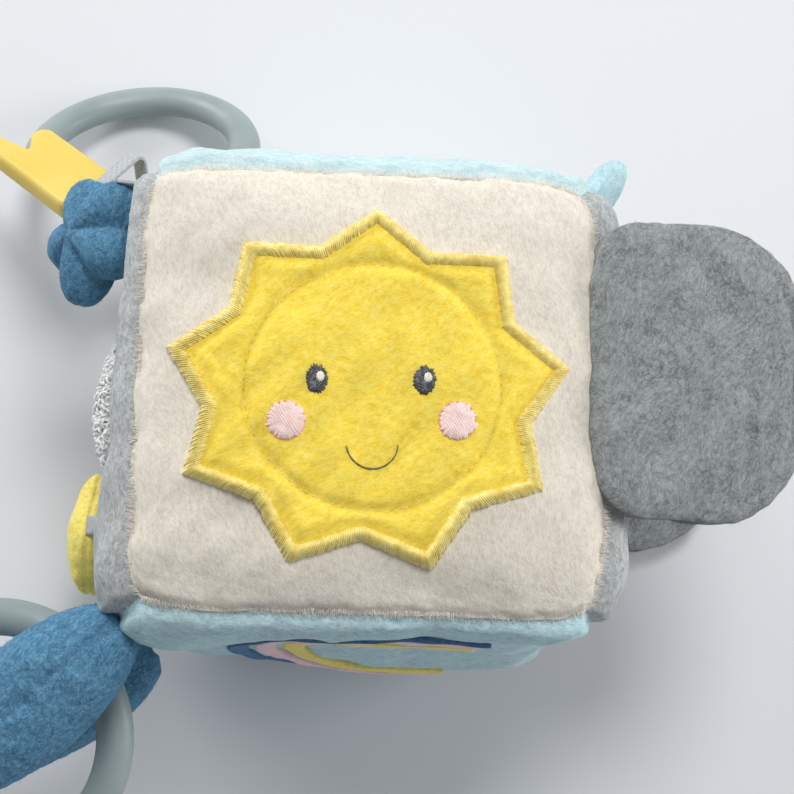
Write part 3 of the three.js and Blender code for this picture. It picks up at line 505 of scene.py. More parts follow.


# Colours at the root, along the hair and at the tip (darker low in the pile as painted shade, lighter at the tips as
# painted light), nap, size and depth of the pile, strength of the patches, and for some the sheen, drift of the
# strands and strength of the painted shade along the partings
cream = plush("cream_plush", "D8CFC0", "E7DECF", "F0E9DB", (0.3, -1, 0), 1.0, 0.8, 0.22)
# painted light: the fringe hairs are the cream pile, coloured lighter to make up for the shade they stand in
lit_fringe_cream = plush("lit_fringe_cream", "EAE3D8", "F6F0E6", "FFFBF3", (0, 0, 1), 1.0, 0.5, 0.1)
front_blue = plush("front_blue_plush", "A8C9CE", "C0DDE1", "D4EAED", (1, 0, -0.2), 1.0, 0.8, 0.3)
back_blue = plush("back_blue_plush", "B1D2D5", "C6DDDF", "DAEAEB", (1, 0, 0.2), 1.0, 0.8, 0.25)
grey = plush("grey_plush", "989C9C", "B4B7B6", "CCCECD", (0, 1, 0.3), 1.0, 0.9, 0.35)
ear_grey = plush("ear_plush", "7D8181", "929695", "A6AAA9", (0.5, 1, 0), 1.0, 1.2, 0.5, 0.35, 9, 0.42)
sun_plush = plush("sun_plush", "F3CE43", "FCDF58", "FFE974", (0.8, 0.5, 0), 1.05, 0.8, 0.2)
blue = plush("blue_plush", "416F8C", "5685A3", "739EB9", (-0.5, -0.6, 0.5), 0.95, 1.1, 0.4, 0.4, 8, 0.38)
yellow_plush = plush("yellow_plush", "EDD257", "FDE97A", "FFF5A4", (0, 0.3, 1), 1.0, 0.9, 0.3)
tab_blue = plush("tab_plush", "A4CAD1", "B9D7DD", "CFE5E8", (0, 0, 1), 1.0, 0.9, 0.25)
boucle_white = plush("cloud_loops", "E0E0DE", "F2F2F0", "FCFCFA", (1, 0, 0), 0.9, 0.6, 0.15)
filling = plush("wadding", "DADADA", "F2F2F2", "FFFFFF", (1, 1, 0), 2.4, 2.0, 0.3)
felt_blue = plush("band_blue", "44688A", "577C9E", "6B8DA9", (1, 0, 0), 0.7, 0.35, 0.15)
felt_pink = plush("band_pink", "E6BEC7", "F5D2D9", "FCE2E6", (1, 0, 0), 0.7, 0.35, 0.15)
felt_yellow = plush("band_yellow", "E8D268", "F9E684", "FDF0A2", (1, 0, 0), 0.7, 0.35, 0.15)
satin_yellow = thread("border_thread", "E3C24E", "FFF09A", 700, 0.36)
dark_thread = thread("dark_thread", "26282C", "55575B")
smile_thread = thread("smile_thread", "4C4A36", "7A7450")
eye_thread = thread("eye_thread", "5E6064", "8B8C8E")
rose_thread = thread("rose_thread", "D98F86", "EBAEA4")
white_thread = thread("white_thread", "D9D3C0", "FBF8EC")
pink_thread = thread("pink_thread", "F0C2BB", "FDE4DB", 620)
seam_thread = thread("seam_thread", "D6B038", "EAC94C")
blue_thread = thread("blue_thread", "24475F", "3B6482")
tape = woven("grey_tape", "A2A7A9", "BFC3C4", 0.4)
ring_plastic = moulded("ring_plastic", "889595", "9BA6A6", 0.42, 0.02)
bolt_rubber = moulded("teether_rubber", "E0C252", "EACE68", 0.5, 0.03)

# The six panels and the stuffing in them
panel("bottom", cream)
panel("sun", cream)
panel("front", front_blue)
panel("back", back_blue)
panel("left", grey)
panel("right", grey)


def from_cad(node, name, material, body, cuts, roughness=0.0):
    """A finer copy of a solid, for pieces whose solid has the form that they need."""
    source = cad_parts[node].data
    faces = [list(polygon.vertices) for polygon in source.polygons]
    piece = make(name, (points_of(source), faces), material, [node], body)
    apply(piece, "WELD", merge_threshold=0.01 * MM)
    apply(piece, "SUBSURF", subdivision_type="SIMPLE", levels=cuts, render_levels=cuts)
    mesh = piece.data
    if roughness:
        points = points_of(mesh)
        normals = np.array([vertex.normal for vertex in mesh.vertices])
        set_points(mesh, points + normals * (folds(points) * roughness)[:, None])
    shade_smooth(mesh)
    mesh.update()
    return piece


stuffing = from_cad("stuffing_core", "stuffing", filling, "soft_block", 3, 0.4).data
shrunk = (points_of(stuffing) - BLOCK_MIDDLE) * (1 - STUFFING_GAP / BLOCK_HALF) + BLOCK_MIDDLE
set_points(stuffing, settled(shrunk))


# The sun
def sun_radius(angle, inset):
    """How far the star reaches in a direction, or a line set in from its edge."""
    half = math.pi / SUN_TIPS
    from_tip = np.abs(np.mod(np.mod(angle - SUN_TURN, 2 * half) + 3 * half, 2 * half) - half)
    tip_angle = math.atan2(SUN_VALLEY * math.sin(half), SUN_TIP - SUN_VALLEY * math.cos(half))
    tip = SUN_TIP - inset / math.sin(tip_angle)
    valley = SUN_VALLEY - inset / math.sin(tip_angle + half)
    return (tip * valley * math.sin(half)) / (tip * np.sin(from_tip) + valley * np.sin(half - from_tip))


def sun_place(angle, radius, lift):
    x = radius * np.cos(angle) * SUN_WIDTH
    y = radius * np.sin(angle) * SUN_DEPTH - SUN_FORWARD
    return face_points("sun", x, y, lift)


def sun_lift(points):
    """How the quilted fabric stands: puffed between the ring of stitches and the border."""
    x, y = points[:, 0] - QUILT_CENTRE[0], points[:, 1] - QUILT_CENTRE[1]
    away = np.hypot(x, y / QUILT_FLAT)
    puff = 0.9 * np.clip(1 - (away / QUILT_RADIUS) ** 2, 0, 1) ** 0.6
    channel = 0.95 * bell(away - QUILT_RADIUS, 1.3)
    return puff - channel + 0.04 * tufts(points) + 0.16 * folds(points)


def sun_sheet(around=54 * 6, rings=52):
    angles = SUN_TURN + circle(around)
    radius = sun_radius(angles, BORDER_WIDTH * 0.7)
    layers = []
    for k in range(1, rings + 1):
        share = k / rings
        points = sun_place(angles, share * radius, LAYER_GAP + SUN_FABRIC)
        edge = np.clip((1 - share) * 9, 0, 1)
        rim = 0.35 * bell((1 - share) * 40 - 4.5, 2.2)
        points[:, 2] += sun_lift(points) * edge + rim - 0.5 * (1 - edge)
        layers.append(points)
    middle = sun_place(np.zeros(1), np.zeros(1), LAYER_GAP + SUN_FABRIC)
    middle[:, 2] += sun_lift(middle)
    layers += [sun_place(angles, radius, LAYER_GAP - 0.3), middle]
    form = np.concatenate(layers), disc_faces(around, rings)
    make("sun_plush_patch", form, sun_plush, ["sun_applique"])


def border():
    """Satin stitches side by side round the star: each one is a ridge across the band."""
    draw = np.random.RandomState(21)
    pitch, samples, sides, overhang, sunk, rim_height = 0.52, 4, 9, 0.15, 0.4, 0.25
    corners = SUN_TURN + math.pi * np.arange(2 * SUN_TIPS) / SUN_TIPS
    ways = np.stack([np.cos(corners), np.sin(corners)], 1)
    outer, inner = (sun_radius(corners, inset)[:, None] * ways for inset in (-overhang, BORDER_WIDTH))
    phase = np.arange(samples) / samples
    starts, stops, jitters = [], [], []
    for k in range(len(corners)):
        outer_run, inner_run = (edge[(k + 1) % len(corners)] - edge[k] for edge in (outer, inner))
        length = np.linalg.norm(outer_run) / 2 + np.linalg.norm(inner_run) / 2
        stitches = int(round(length / pitch))
        t = ((np.arange(stitches)[:, None] + phase) / stitches).reshape(-1, 1)
        starts.append(outer[k] + outer_run * t)
        stops.append(inner[k] + inner_run * t)
        jitters.append(np.repeat(draw.uniform(-0.22, 0.22, (stitches, 2)), samples, 0))
    starts, stops, jitters = (np.concatenate(values) for values in (starts, stops, jitters))
    for _ in range(5):
        starts, stops = ((np.roll(line, 1, 0) + line * 2 + np.roll(line, -1, 0)) / 4 for line in (starts, stops))
    ridge = 0.5 * np.abs(np.sin(math.pi * np.tile(phase, len(starts) // samples))) ** 0.7
    way = unit(stops - starts)
    starts = starts + way * jitters[:, :1]
    stops = stops + way * jitters[:, 1:]
    lines = []
    for s in range(sides):
        share = s / (sides - 1)
        dome = math.sin(math.pi * share) ** 0.6
        lift = LAYER_GAP + rim_height + (BORDER_HEIGHT - rim_height) * dome + ridge * dome
        lines.append((starts + (stops - starts) * share, lift))
    lines += [(stops, LAYER_GAP - sunk), (starts, LAYER_GAP - sunk)]
    sections = np.stack([sun_place(*polar(flat), lift) for flat, lift in lines], 1)
    form = tube(sections[:, ::-1], True)
    make("sun_satin_border", form, satin_yellow, ["sun_border"])


def sun_tops(x, y):
    """Points on the plush of the sun, at places in the block's frame."""
    flat = np.stack([x, y, 0 * x], 1)
    turned = placed(flat, (0, 0, 0), (math.cos(-TOP_TWIST), math.sin(-TOP_TWIST), 0), UP)
    points = face_points("sun", turned[:, 0], turned[:, 1], LAYER_GAP + SUN_FABRIC)
    points[:, 2] += sun_lift(points)
    return points


def quilting(count=82, stitch=0.62, size=0.2):
    """The ring of short stitches in the sun."""
    parts = []
    for k in range(count):
        turns = 2 * math.pi * np.array([k, k + stitch]) / count
        x = QUILT_CENTRE[0] + QUILT_RADIUS * np.cos(turns)
        y = QUILT_CENTRE[1] + QUILT_FLAT * QUILT_RADIUS * np.sin(turns)
        parts.append(capsule(*sun_tops(x, y), size))
    make("sun_quilting", joined(parts), seam_thread)


def stitched_disc(node, x, y, width, length, material, way, pitch, lift, seed, around=120, rings=26):
    """A patch filled with stitches that all run one way, with an uneven edge."""
    uneven = Waves(seed, 1.1)
    angles = circle(around)
    layers = []
    for k in range(1, rings + 2):
        share = min(k, rings) / rings
        ragged = 1 + 0.055 * uneven(hoop(0, 6, X, Y, around)) * share
        dx = share * ragged * width / 2 * np.cos(angles)
        dy = share * ragged * length / 2 * np.sin(angles)
        base = sun_tops(x + dx, y + dy)
        across = dx * math.cos(way) + dy * math.sin(way)
        ridge = 0.2 * np.abs(np.sin(math.pi * (across / pitch + 0.1 * uneven(base * 0.6)))) - 0.1
        height = (STITCH_HEIGHT + lift) * (1 - share**4) ** 0.5 + ridge * (share < 1)
        base[:, 2] += height if k <= rings else -0.5
        layers.append(base)
    layers.append(sun_tops(np.array([x]), np.array([y])) + (STITCH_HEIGHT + lift) * UP)
    make("stitched_" + node, (np.concatenate(layers), disc_faces(around, rings)), material, [node])


def smile():
    x, y, radius, reach, turn, size = 1.7, -13.7, 5.8, math.radians(85), math.radians(6), 0.2
    angles = turn - math.pi / 2 + reach * np.linspace(-1, 1, 61)
    path = sun_tops(x + radius * np.cos(angles), y + radius * np.sin(angles))
    side = np.cross(unit(np.gradient(path, axis=0)), UP)
    sections = []
    for k, point in enumerate(path):
        plied = size * (0.7 + 0.3 * abs(math.sin(math.pi * k / 7.5)))
        sections.append(hoop(point + size * UP, plied, side[k], UP, 8))
    make("stitched_smile", tube(sections), smile_thread, ["smile"])


def loose_stitches(name, x, y, half_width, half_length, count, reach, size, material, seed, edge=False):
    """Single threads over a stitched patch, or slanted over its edge."""
    draw = np.random.RandomState(seed)
    parts = []
    for k in range(count):
        angle = 2 * math.pi * k / count if edge else draw.uniform(0, 2 * math.pi)
        share = 1.0 if edge else math.sqrt(draw.uniform(0, 0.75))
        way = angle + draw.uniform(0.5, 1.1) if edge else math.radians(70) + draw.uniform(-0.7, 0.7)
        here = np.array([x + share * half_width * math.cos(angle), y + share * half_length * math.sin(angle)])
        half = reach / 2 * np.array([math.cos(way), math.sin(way)])
        height = 0.25 if edge else (STITCH_HEIGHT + 0.2) * math.sqrt(1 - share**4) + 0.05
        ends = sun_tops(*np.stack([here - half, here + half], 1)) + height * UP
        parts.append(capsule(*ends, size))
    make(name, joined(parts), material)


EYES = {"left": (-11.7, -0.3), "right": (12.4, 1.4)}
CHEEKS = {"left": (-17.8, -10.2), "right": (20.4, -7.2)}
sun_sheet()
border()
quilting()
for seed, (side, (x, y)) in enumerate(EYES.items(), 31):
    stitched_disc("eye_" + side, x, y, 5.0, 6.6, dark_thread, math.radians(70), 0.5, 0.2, seed)
    stitched_disc("glint_" + side, x + 0.7, y + 0.5, 2.1, 2.6, white_thread, math.radians(20), 0.4,
                  0.75, seed + 2)
for seed, (side, (x, y)) in enumerate(CHEEKS.items(), 41):
    stitched_disc("cheek_" + side, x, y, 8.6, 8.8, pink_thread, math.radians(35), 0.55, 0.2, seed)
smile()
for seed, (side, (x, y)) in enumerate(EYES.items(), 51):
    loose_stitches("eye_threads_" + side, x, y, 2.4, 3.2, 34, 1.3, 0.09, eye_thread, seed)
for seed, (side, (x, y)) in enumerate(CHEEKS.items(), 53):
    loose_stitches("cheek_threads_" + side, x, y, 4.1, 4.2, 46, 0.8, 0.12, rose_thread, seed, True)


# The rainbow on the front face
def band(name, outside, material, stations=150, sides=9):
    """A felt band: half a circle and two straight legs, sewn on a little tilted."""
    width, thick, foot, stand = 5, 0.4, -0.7, 0.3
    centre_x, centre_rise, leg, leg_share, tilt = 5.0, 8.6, 23.0, 0.22, math.radians(-4)

    def arch(share, radius):
        leg_part = 1 - min(share, 1 - share) / leg_share
        if leg_part > 0:
            return leg_part * leg, radius if share < 0.5 else -radius
        angle = math.pi / 2 + math.pi * (share - leg_share) / (1 - 2 * leg_share)
        return radius * math.cos(angle), radius * math.sin(angle)

    profile = []
    for k in range(sides):
        t = k / (sides - 1)
        profile.append((t, LAYER_GAP + stand + thick * math.sin(math.pi * t) ** 0.35))
    profile += [(1, foot), (0, foot)]
    sections = []
    for s in range(stations + 1):
        row = []
        for t, lift in profile:
            x, y = arch(s / stations, outside - width * t)
            row.append((centre_x + x * math.cos(tilt) - y * math.sin(tilt),
                        x * math.sin(tilt) + y * math.cos(tilt) + centre_rise, lift))
        sections.append(face_points("front", *np.array(row).T))
    make(name + "_felt", tube(np.array(sections)[:, ::-1]), material, [name + "_band"])


band("rainbow_outer", 34, felt_blue)
band("rainbow_middle", 27, felt_pink)
band("rainbow_inner", 20, felt_yellow)


# Stuffed pieces, and the material, slot and body of each
STUFFED = {}


def superellipse(half_x, half_y, power):
    return lambda a: (np.abs(np.cos(a) / half_x) ** power + np.abs(np.sin(a) / half_y) ** power) ** (-1 / power)


def pillow(name, body, ends, outline, half, seat, material, slot, power, around, rings, groove, fold,
           tuft=0.05, ripple=0.08, seam_rise=None, shape=None):
    """A stuffed form of covers sewn round an outline, with the seam drawn in between them.

    half is half its thickness, and seat holds its middle, x axis and z axis. power says how full its section
    is, groove how deep its seam lies, and fold, tuft and ripple how far the cloth swells, tufts and puckers.
    """
    angles = circle(around)
    reach = outline(angles)
    rows = 2 * rings - 1
    layers = []
    for k in range(1, rows + 1):
        turn = math.pi * k / (2 * rings)
        height = half * abs(math.cos(turn)) ** (2 * power) * (1 if turn < math.pi / 2 else -1)
        radius = math.sin(turn) ** 0.9 * reach - bell(turn - math.pi / 2, 0.07) * groove
        seam = 0 if seam_rise is None else seam_rise(angles) * math.sin(turn) ** 8
        layers.append(np.stack([radius * np.cos(angles), radius * np.sin(angles), height + seam + 0 * angles], 1))
    points = np.concatenate(layers)
    if shape is not None:
        points = shape(points)
    normals = grid_normals(points, around, rows)
    if (normals * points).sum() < 0:
        normals = -normals
    near_seam = bell(1 - polar(points)[1] / np.tile(reach, rows), 0.16)
    world = placed(points, *seat)
    lift = fold * (0.8 * lumps(world * 1.3) + 0.25 * folds(world * 0.8)) + tuft * tufts(world)
    lift += ripple * puckers(world) * near_seam
    points = points + normals * lift[:, None]
    points = np.concatenate([points, [points[:around].mean(0), points[-around:].mean(0)]])
    faces = [face[::-1] for face in grid_faces(around, rows, True)]
    last, top = (rows - 1) * around, rows * around
    faces += [[top, i, (i + 1) % around] for i in range(around)]
    faces += [[top + 1, last + (i + 1) % around, last + i] for i in range(around)]
    nodes = [name + "_" + end for end in ends]
    STUFFED[name] = material, slot, body
    make(name + "_plush", (placed(points, *seat), faces), material, nodes, body)


# The ears. A dent is its place, direction, width and depth, with half the ear's length and width as 1
EAR_LENGTH, EAR_WIDTH = 54.5, 70.8


def ear(name, root, droop, turn, dents):
    level = np.array([math.cos(turn), math.sin(turn), 0])
    out = math.cos(droop) * level - math.sin(droop) * UP
    normal = math.sin(droop) * level + math.cos(droop) * UP
    middle = placed(root, 0, level, UP) + out * (0.7 + EAR_LENGTH / 2)
    free_edge, sewn_edge = (superellipse(EAR_LENGTH / 2, EAR_WIDTH / 2, power) for power in (2.5, 4.5))

    def outline(a):
        return np.where(np.cos(a) < 0, sewn_edge(a), free_edge(a))

    def seam_rise(a):
        return 3.0 * np.clip(np.cos(a - 0.3), 0, 1) ** 1.5

    def shape(points):
        """Wrinkles, and a second seam along the free edge."""
        x, y = points[:, 0] / EAR_LENGTH * 2, points[:, 1] / EAR_WIDTH * 2
        drop = np.zeros(len(points))
        for at_x, at_y, way, width, depth in dents:
            across = (x - at_x) * math.sin(way) - (y - at_y) * math.cos(way)
            along = (x - at_x) * math.cos(way) + (y - at_y) * math.sin(way)
            drop += depth * bell(across, width) * bell(along, 3.2 * width)
        angle, radius = polar(points)
        second_seam, seam_width, seam_depth = 0.87, 0.03, 1.3
        by_edge = bell(radius / outline(angle) - second_seam, seam_width)
        drop += seam_depth * by_edge * np.clip(np.cos(angle + 0.15), 0, 1) ** 2
        points = points.copy()
        points[:, 2] -= drop * np.where(points[:, 2] > 0, 1, 0.4)
        return points

    pillow(name, name, ("upper_cover", "under_cover", "wadding"), outline, 5.6, (middle, out, normal), ear_grey,
           "grey_plush", power=0.34, around=190, rings=54, groove=0.9, fold=0.45, ripple=0.1,
           seam_rise=seam_rise, shape=shape)


ear_root_high = skin(np.array([[EAR_SEAM_SHARE, 0.0, 1.0]]))[0][0] + BLOCK_MIDDLE
ear_root_high[1] = 6.5
ear_root_high[2] += 1.0
ear("upper_ear", ear_root_high, math.radians(12), TOP_TWIST,
    [(-0.5, 0.15, 1.2, 0.2, 1.3), (0.25, -0.2, 0.6, 0.16, 1.4), (0.1, 0.55, 2.4, 0.15, 1.0),
     (0.45, -0.62, 1.1, 0.12, 0.9), (-0.55, -0.6, 0.2, 0.12, 0.8),
     (0.4, -0.42, 1.4, 0.08, 1.7), (0.62, -0.34, 1.35, 0.07, 1.3), (0.2, -0.5, 1.5, 0.07, 1.0)])
ear_root_low = skin(np.array([[1.0, 0.0, -1.0]]))[0][0] + BLOCK_MIDDLE
ear_root_low[1] = 13.5
ear("lower_ear", ear_root_low, math.radians(3), 0.0, [(-0.3, -0.3, 0.8, 0.2, 1.0)])

# The tab
TAB_HEIGHT, TAB_LENGTH, TAB_WIDTH, TAB_HALF = 78, 19, 24, 4.6
tab_middle = edge_point(1, 1, TAB_HEIGHT) + heading(60) * (TAB_LENGTH / 2 + LAYER_GAP)
pillow("tab", "soft_block", ("right_cover", "left_cover", "wadding"),
       superellipse(TAB_LENGTH / 2, TAB_WIDTH / 2, 2.5), TAB_HALF, (tab_middle, heading(60), heading(-30)),
       tab_blue, "pale_blue_plush", power=0.45, around=90, rings=30, groove=0.12, fold=0.25)

# The plush star
STAR_TURN, STAR_LEAN = math.radians(40), math.radians(52)
STAR_TIP, STAR_VALLEY, STAR_LOBES, STAR_HALF = 17.5, 12.2, 5, 8.2
STAR_MIDDLE = np.array([-70.4, 39.6, 78.0])


def star_outline(a):
    wave = np.abs(np.cos(STAR_LOBES * (a - STAR_TURN) / 2))
    return STAR_VALLEY + (STAR_TIP - STAR_VALLEY) * wave**1.3


def star_shape(points):
    """Creases from the middle to the valleys."""
    angle, radius = polar(points)
    from_valley = np.abs(np.mod(angle - STAR_TURN, 2 * math.pi / STAR_LOBES) - math.pi / STAR_LOBES)
    crease = bell(from_valley, 0.26) * np.clip(radius / star_outline(angle) - 0.12, 0, 1)
    points = points.copy()
    points[:, 2] *= 1 - 0.5 * crease
    return points


star_seat = (STAR_MIDDLE, (math.cos(STAR_LEAN), 0, math.sin(STAR_LEAN)),
             (-math.sin(STAR_LEAN), 0, math.cos(STAR_LEAN)))
pillow("plush_star", "plush_star", ("upper_cover", "under_cover", "wadding"), star_outline, STAR_HALF,
       star_seat, blue, "blue_plush", power=0.42, around=180, rings=44, groove=0.35, fold=0.15,
       shape=star_shape)

# The soft charm on the front ring
front_way = heading(226.4)
ring_normal = front_way * math.sin(math.radians(8)) + UP * math.cos(math.radians(8))
ring_level = heading(136.4)
ring_slope = np.cross(ring_normal, ring_level)
front_seam = edge_point(-1, -1, 76)
front_point = front_seam + front_way * 15.8
front_ring_centre = front_point + ring_slope * RING_RADIUS
LOBE_LENGTH, LOBE_THICKNESS, LOBE_RISE, LOBE_POWER = 62.0, 25.2, 18.4, 2.5


def lobe_seat(turn, near, side):
    angle = math.radians(turn) - math.pi / 2
    along = ring_level * math.cos(angle) + ring_slope * math.sin(angle)
    middle = front_ring_centre + along * (near - LOBE_LENGTH / 2) + ring_normal * side * LOBE_RISE
    return middle, along, np.cross(ring_normal, along)


# Each lobe's seat and half width
LOBES = {"upper_lobe": (lobe_seat(-2.4, 47.2, 1), 13.6), "lower_lobe": (lobe_seat(-12.4, 41.8, -1), 12.4)}
for name, (seat, half_width) in LOBES.items():
    pillow(name, "soft_charm", ("back_cover", "front_cover", "wadding"),
           superellipse(LOBE_LENGTH / 2, LOBE_THICKNESS / 2, LOBE_POWER), half_width, seat, blue, "blue_plush",
           power=0.42, around=200, rings=52, groove=0.8, fold=0.3, tuft=0.07, ripple=0.14)
from_cad("lobe_join", "lobe_join_plush", blue, "soft_charm", 2)


def closing_stitches(count=11, first=-17, pitch=3.1, sunk=0.75, size=0.26):
    """The hand-sewn closing of the upper lobe: slanted stitches over its seam."""
    middle, along, sideways = LOBES["upper_lobe"][0]
    axes = np.stack([along, np.cross(sideways, along), sideways])
    draw = np.random.RandomState(5)
    parts = []
    for k in range(count):
        x = first + pitch * k
        share = 1 - abs(x / (LOBE_LENGTH / 2)) ** LOBE_POWER
        y = LOBE_THICKNESS / 2 * share ** (1 / LOBE_POWER) - sunk
        ends = np.array([[x - 0.5 + draw.uniform(-0.5, 0.5), y, -1.3], [x + 0.6, y + 0.1, 1.3]])
        parts.append(capsule(*(middle + ends @ axes), size, 5))
    make("lobe_closing_stitches", joined(parts), blue_thread, (), "soft_charm")


closing_stitches()


# The moon and the drop beside the cloud, each with its place along and up the left face
def moon_outline(a):
    """Round, with a broad notch."""
    from_notch = a - math.radians(140)
    away = np.arctan2(np.sin(from_notch), np.cos(from_notch))
    return 17 * (1 - 0.34 * bell(away, math.radians(40)))


def drop_outline(a):
    point = bell(a - math.pi / 2, math.radians(29))
    return superellipse(5.6, 7.4, 2)(a) * (0.86 + 0.14 * point)


def left_seat(y, z, half, gap):
    out = crown(y, z - BLOCK_MIDDLE[2]) + gap + half + 0.17
    return (-out, y, z), (0, -1, 0), (-1, 0, 0)


MOON_HALF, DROP_HALF = 6.4, 3.4
pillow("moon", "moon", ("outer_cover", "inner_cover", "wadding"), moon_outline, MOON_HALF,
       left_seat(-31, 41, MOON_HALF, LAYER_GAP), yellow_plush, "yellow_plush", power=0.45, around=150,
       rings=36, groove=0.6, fold=0.2, ripple=0.12)
pillow("drop", "drop", ("outer_cover", "inner_cover"), drop_outline, DROP_HALF,
       left_seat(-47, 17.5, DROP_HALF, 1), blue, "blue_plush", power=0.5, around=80, rings=22, groove=0.3,
       fold=0.1)


# The cloud: small curls of looped pile over its dome
CLOUD_WIDTH, CLOUD_HEIGHT, CLOUD_RISE = 35, 25, 7.4
CLOUD_X, CLOUD_Z = 1.5, 68


def cloud_surface(angle, share, lift):
    outline = superellipse(CLOUD_WIDTH / 2, CLOUD_HEIGHT / 2, 2.4)(angle)
    radius = share * (outline * (0.88 + 0.12 * np.abs(np.sin(2.5 * angle))))
    x, y = radius * np.cos(angle) + CLOUD_X, radius * np.sin(angle) + CLOUD_Z - BLOCK_MIDDLE[2]
    return face_points("left", x, y, LAYER_GAP + CLOUD_RISE * np.maximum(1 - share**2, 0) ** 0.55 + lift)


def cloud(around=110, rings=26, curls=430):
    draw = np.random.RandomState(11)
    angles = circle(around)
    layers = [cloud_surface(angles, np.full(around, k / rings), 0.0) for k in range(1, rings + 1)]
    layers += [cloud_surface(angles, np.ones(around), -1.0), cloud_surface(np.zeros(1), np.zeros(1), 0.0)]
    points = np.concatenate(layers)
    points[: around * rings, 0] -= 0.5 * tufts(points[: around * rings])
    make("cloud_ground", (points, disc_faces(around, rings)), boucle_white,
         ["cloud_cover", "cloud_wadding"])
    parts = []
    for _ in range(curls):
        at = np.array([draw.uniform(0, 2 * math.pi)]), np.array([math.sqrt(draw.uniform(0, 1))])
        centre = cloud_surface(*at, 0.25)[0]
        away = unit(unit(centre - cloud_surface(*at, -2.0)[0]) + draw.normal(size=3) * 0.5)
        side = unit(np.cross(away, draw.normal(size=3)))
        loop, thick = draw.uniform(0.75, 1.25), draw.uniform(0.26, 0.38)
        sections = []
        for t in np.linspace(-0.7, math.pi + 0.7, 9):
            radial = side * math.cos(t) + away * math.sin(t)
            sections.append(hoop(centre + radial * loop, thick, radial, np.cross(side, away), 5))
        parts.append(tube(sections))
    make("cloud_curls", joined(parts), boucle_white)


cloud()


# Rings
def ring(body, centre, level, normal, around=168, sides=36):
    """A moulded ring with a fine parting line round its outside."""
    turns = circle(sides)[:, None]
    parting = 0.07 * bell(np.sin(turns), 0.05) * (np.cos(turns) > 0)
    out = RING_RADIUS + (RING_HALF_WIDTH + parting) * np.cos(turns)
    rise = centre + normal * RING_HALF_HEIGHT * np.sin(turns)
    radials = hoop(0, 1, level, np.cross(normal, level), around)
    sections = [(rise + radial * out)[::-1] for radial in radials]
    make(body + "_moulded", tube(sections, True), ring_plastic, [body], body)


back_tilt = math.radians(41.3)
back_normal = heading(100) * math.sin(back_tilt) + UP * math.cos(back_tilt)
back_level = heading(10)
back_slope = np.cross(back_normal, back_level)
back_way = heading(111.5)
back_seam = edge_point(-1, 1, 43)
back_point = back_seam + back_way * 8.5
back_angle = math.atan2(-back_way @ back_slope, -back_way @ back_level)
back_radial = back_level * math.cos(back_angle) + back_slope * math.sin(back_angle)
ring("back_ring", back_point - RING_RADIUS * back_radial, back_level, back_normal)
ring("front_ring", front_ring_centre, ring_level, ring_normal)

# The teether: the solid's own form with its edges rounded over
teether = from_cad("lightning_teether", "teether_moulded", bolt_rubber, "lightning_teether", 1)
apply(teether, "REMESH", mode="VOXEL", voxel_size=0.42 * MM)
apply(teether, "SMOOTH", iterations=12)
shade_smooth(teether.data)

# The tapes and the bodies that hold them. A ring's loop rides on no body and keeps its place in its points
for node, body, *ends in (
    ("teether_tie", "lightning_teether"),
    ("back_ring_loop", "back_ring", back_seam, back_point),
    ("front_ring_loop", "front_ring", front_seam, front_point),
    ("plush_star_ribbon", "plush_star"),
    ("moon_ribbon", "moon"),
    ("drop_ribbon", "drop"),
):
    piece = from_cad(node, node + "_woven", tape, None if ends else body, 2)
    if ends:
        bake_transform(piece)


# Loose ends of the pile
def strands(name, roots, ways, lengths, droop, thick, material, slot, body, rings=4, sides=3):
    """Single curved hairs, each a thin tapering tube."""
    ways = unit(ways)
    side = unit(np.cross(ways, np.array([0.3, 0.5, 0.81])))
    other = np.cross(ways, side)
    rows = []
    for k in range(rings):
        t = k / (rings - 1)
        centre = roots + ways * (lengths * t)[:, None] + droop * (lengths * t * t)[:, None]
        rows.append(hoop(centre[:, None], thick * (1 - 0.75 * t), side[:, None], other[:, None], sides))
    points = np.stack(rows, 1)
    faces = outward(*tube(points[0]))
    every = [[v + n * rings * sides for v in face] for n in range(len(roots)) for face in faces]
    make(name, (points.reshape(-1, 3), every), material, (), body, closed=False)


def sun_fringe(count=5200):
    """The cream pile that overhangs the seams of the top face."""
    draw = np.random.RandomState(61)
    along = draw.uniform(-0.97, 0.97, count) * SUN_SEAM_SHARE
    edge = draw.randint(0, 4, count)
    near = SUN_SEAM_SHARE * draw.uniform(0.965, 1.0, count)
    sideways = edge < 2
    across = np.where(sideways, near * np.where(edge == 0, 1, -1), along)
    deep = np.where(sideways, along, near * np.where(edge == 2, 1, -1))
    directions = np.stack([across, deep, np.ones(count)], 1)
    roots = settled(wrung(skin(directions)[0]) + BLOCK_MIDDLE) + 0.25 * UP
    out = np.stack([np.where(sideways, np.sign(across), 0), np.where(sideways, 0, np.sign(deep)), 0 * across], 1)
    ways = out + draw.normal(size=(count, 3)) * 0.25
    # the hairs take the lighter copy of the cream pile, which is painted light
    strands("sun_panel_fringe", roots, ways, draw.uniform(0.9, 2.4, count), -0.35 * UP, 0.07, lit_fringe_cream,
            "cream_plush", "soft_block")


def fuzz(name, count, length):
    """Sparse ends of pile standing off a stuffed form, which soften its outline."""
    draw = np.random.RandomState(count)
    polygons = bpy.data.objects[name + "_plush"].data.polygons
    centres, normals, areas = (np.array([getattr(p, key) for p in polygons]) for key in ("center", "normal", "area"))
    picks = draw.choice(len(areas), count, p=areas / areas.sum())
    ways = normals[picks] + draw.normal(size=(count, 3)) * 0.45
    roots = centres[picks] / MM - normals[picks] * 0.1
    lengths = draw.uniform(0.5, 1, count) * length
    strands(name + "_plush_fuzz", roots, ways, lengths, draw.normal(size=(count, 3)) * 0.25, 0.05, *STUFFED[name])


sun_fringe()
fuzz("upper_ear", 1500, 1.0)
fuzz("lower_ear", 500, 1.0)
fuzz("upper_lobe", 1300, 0.9)
fuzz("lower_lobe", 800, 0.9)
fuzz("plush_star", 700, 0.9)
fuzz("moon", 350, 0.8)
fuzz("tab", 250, 0.8)

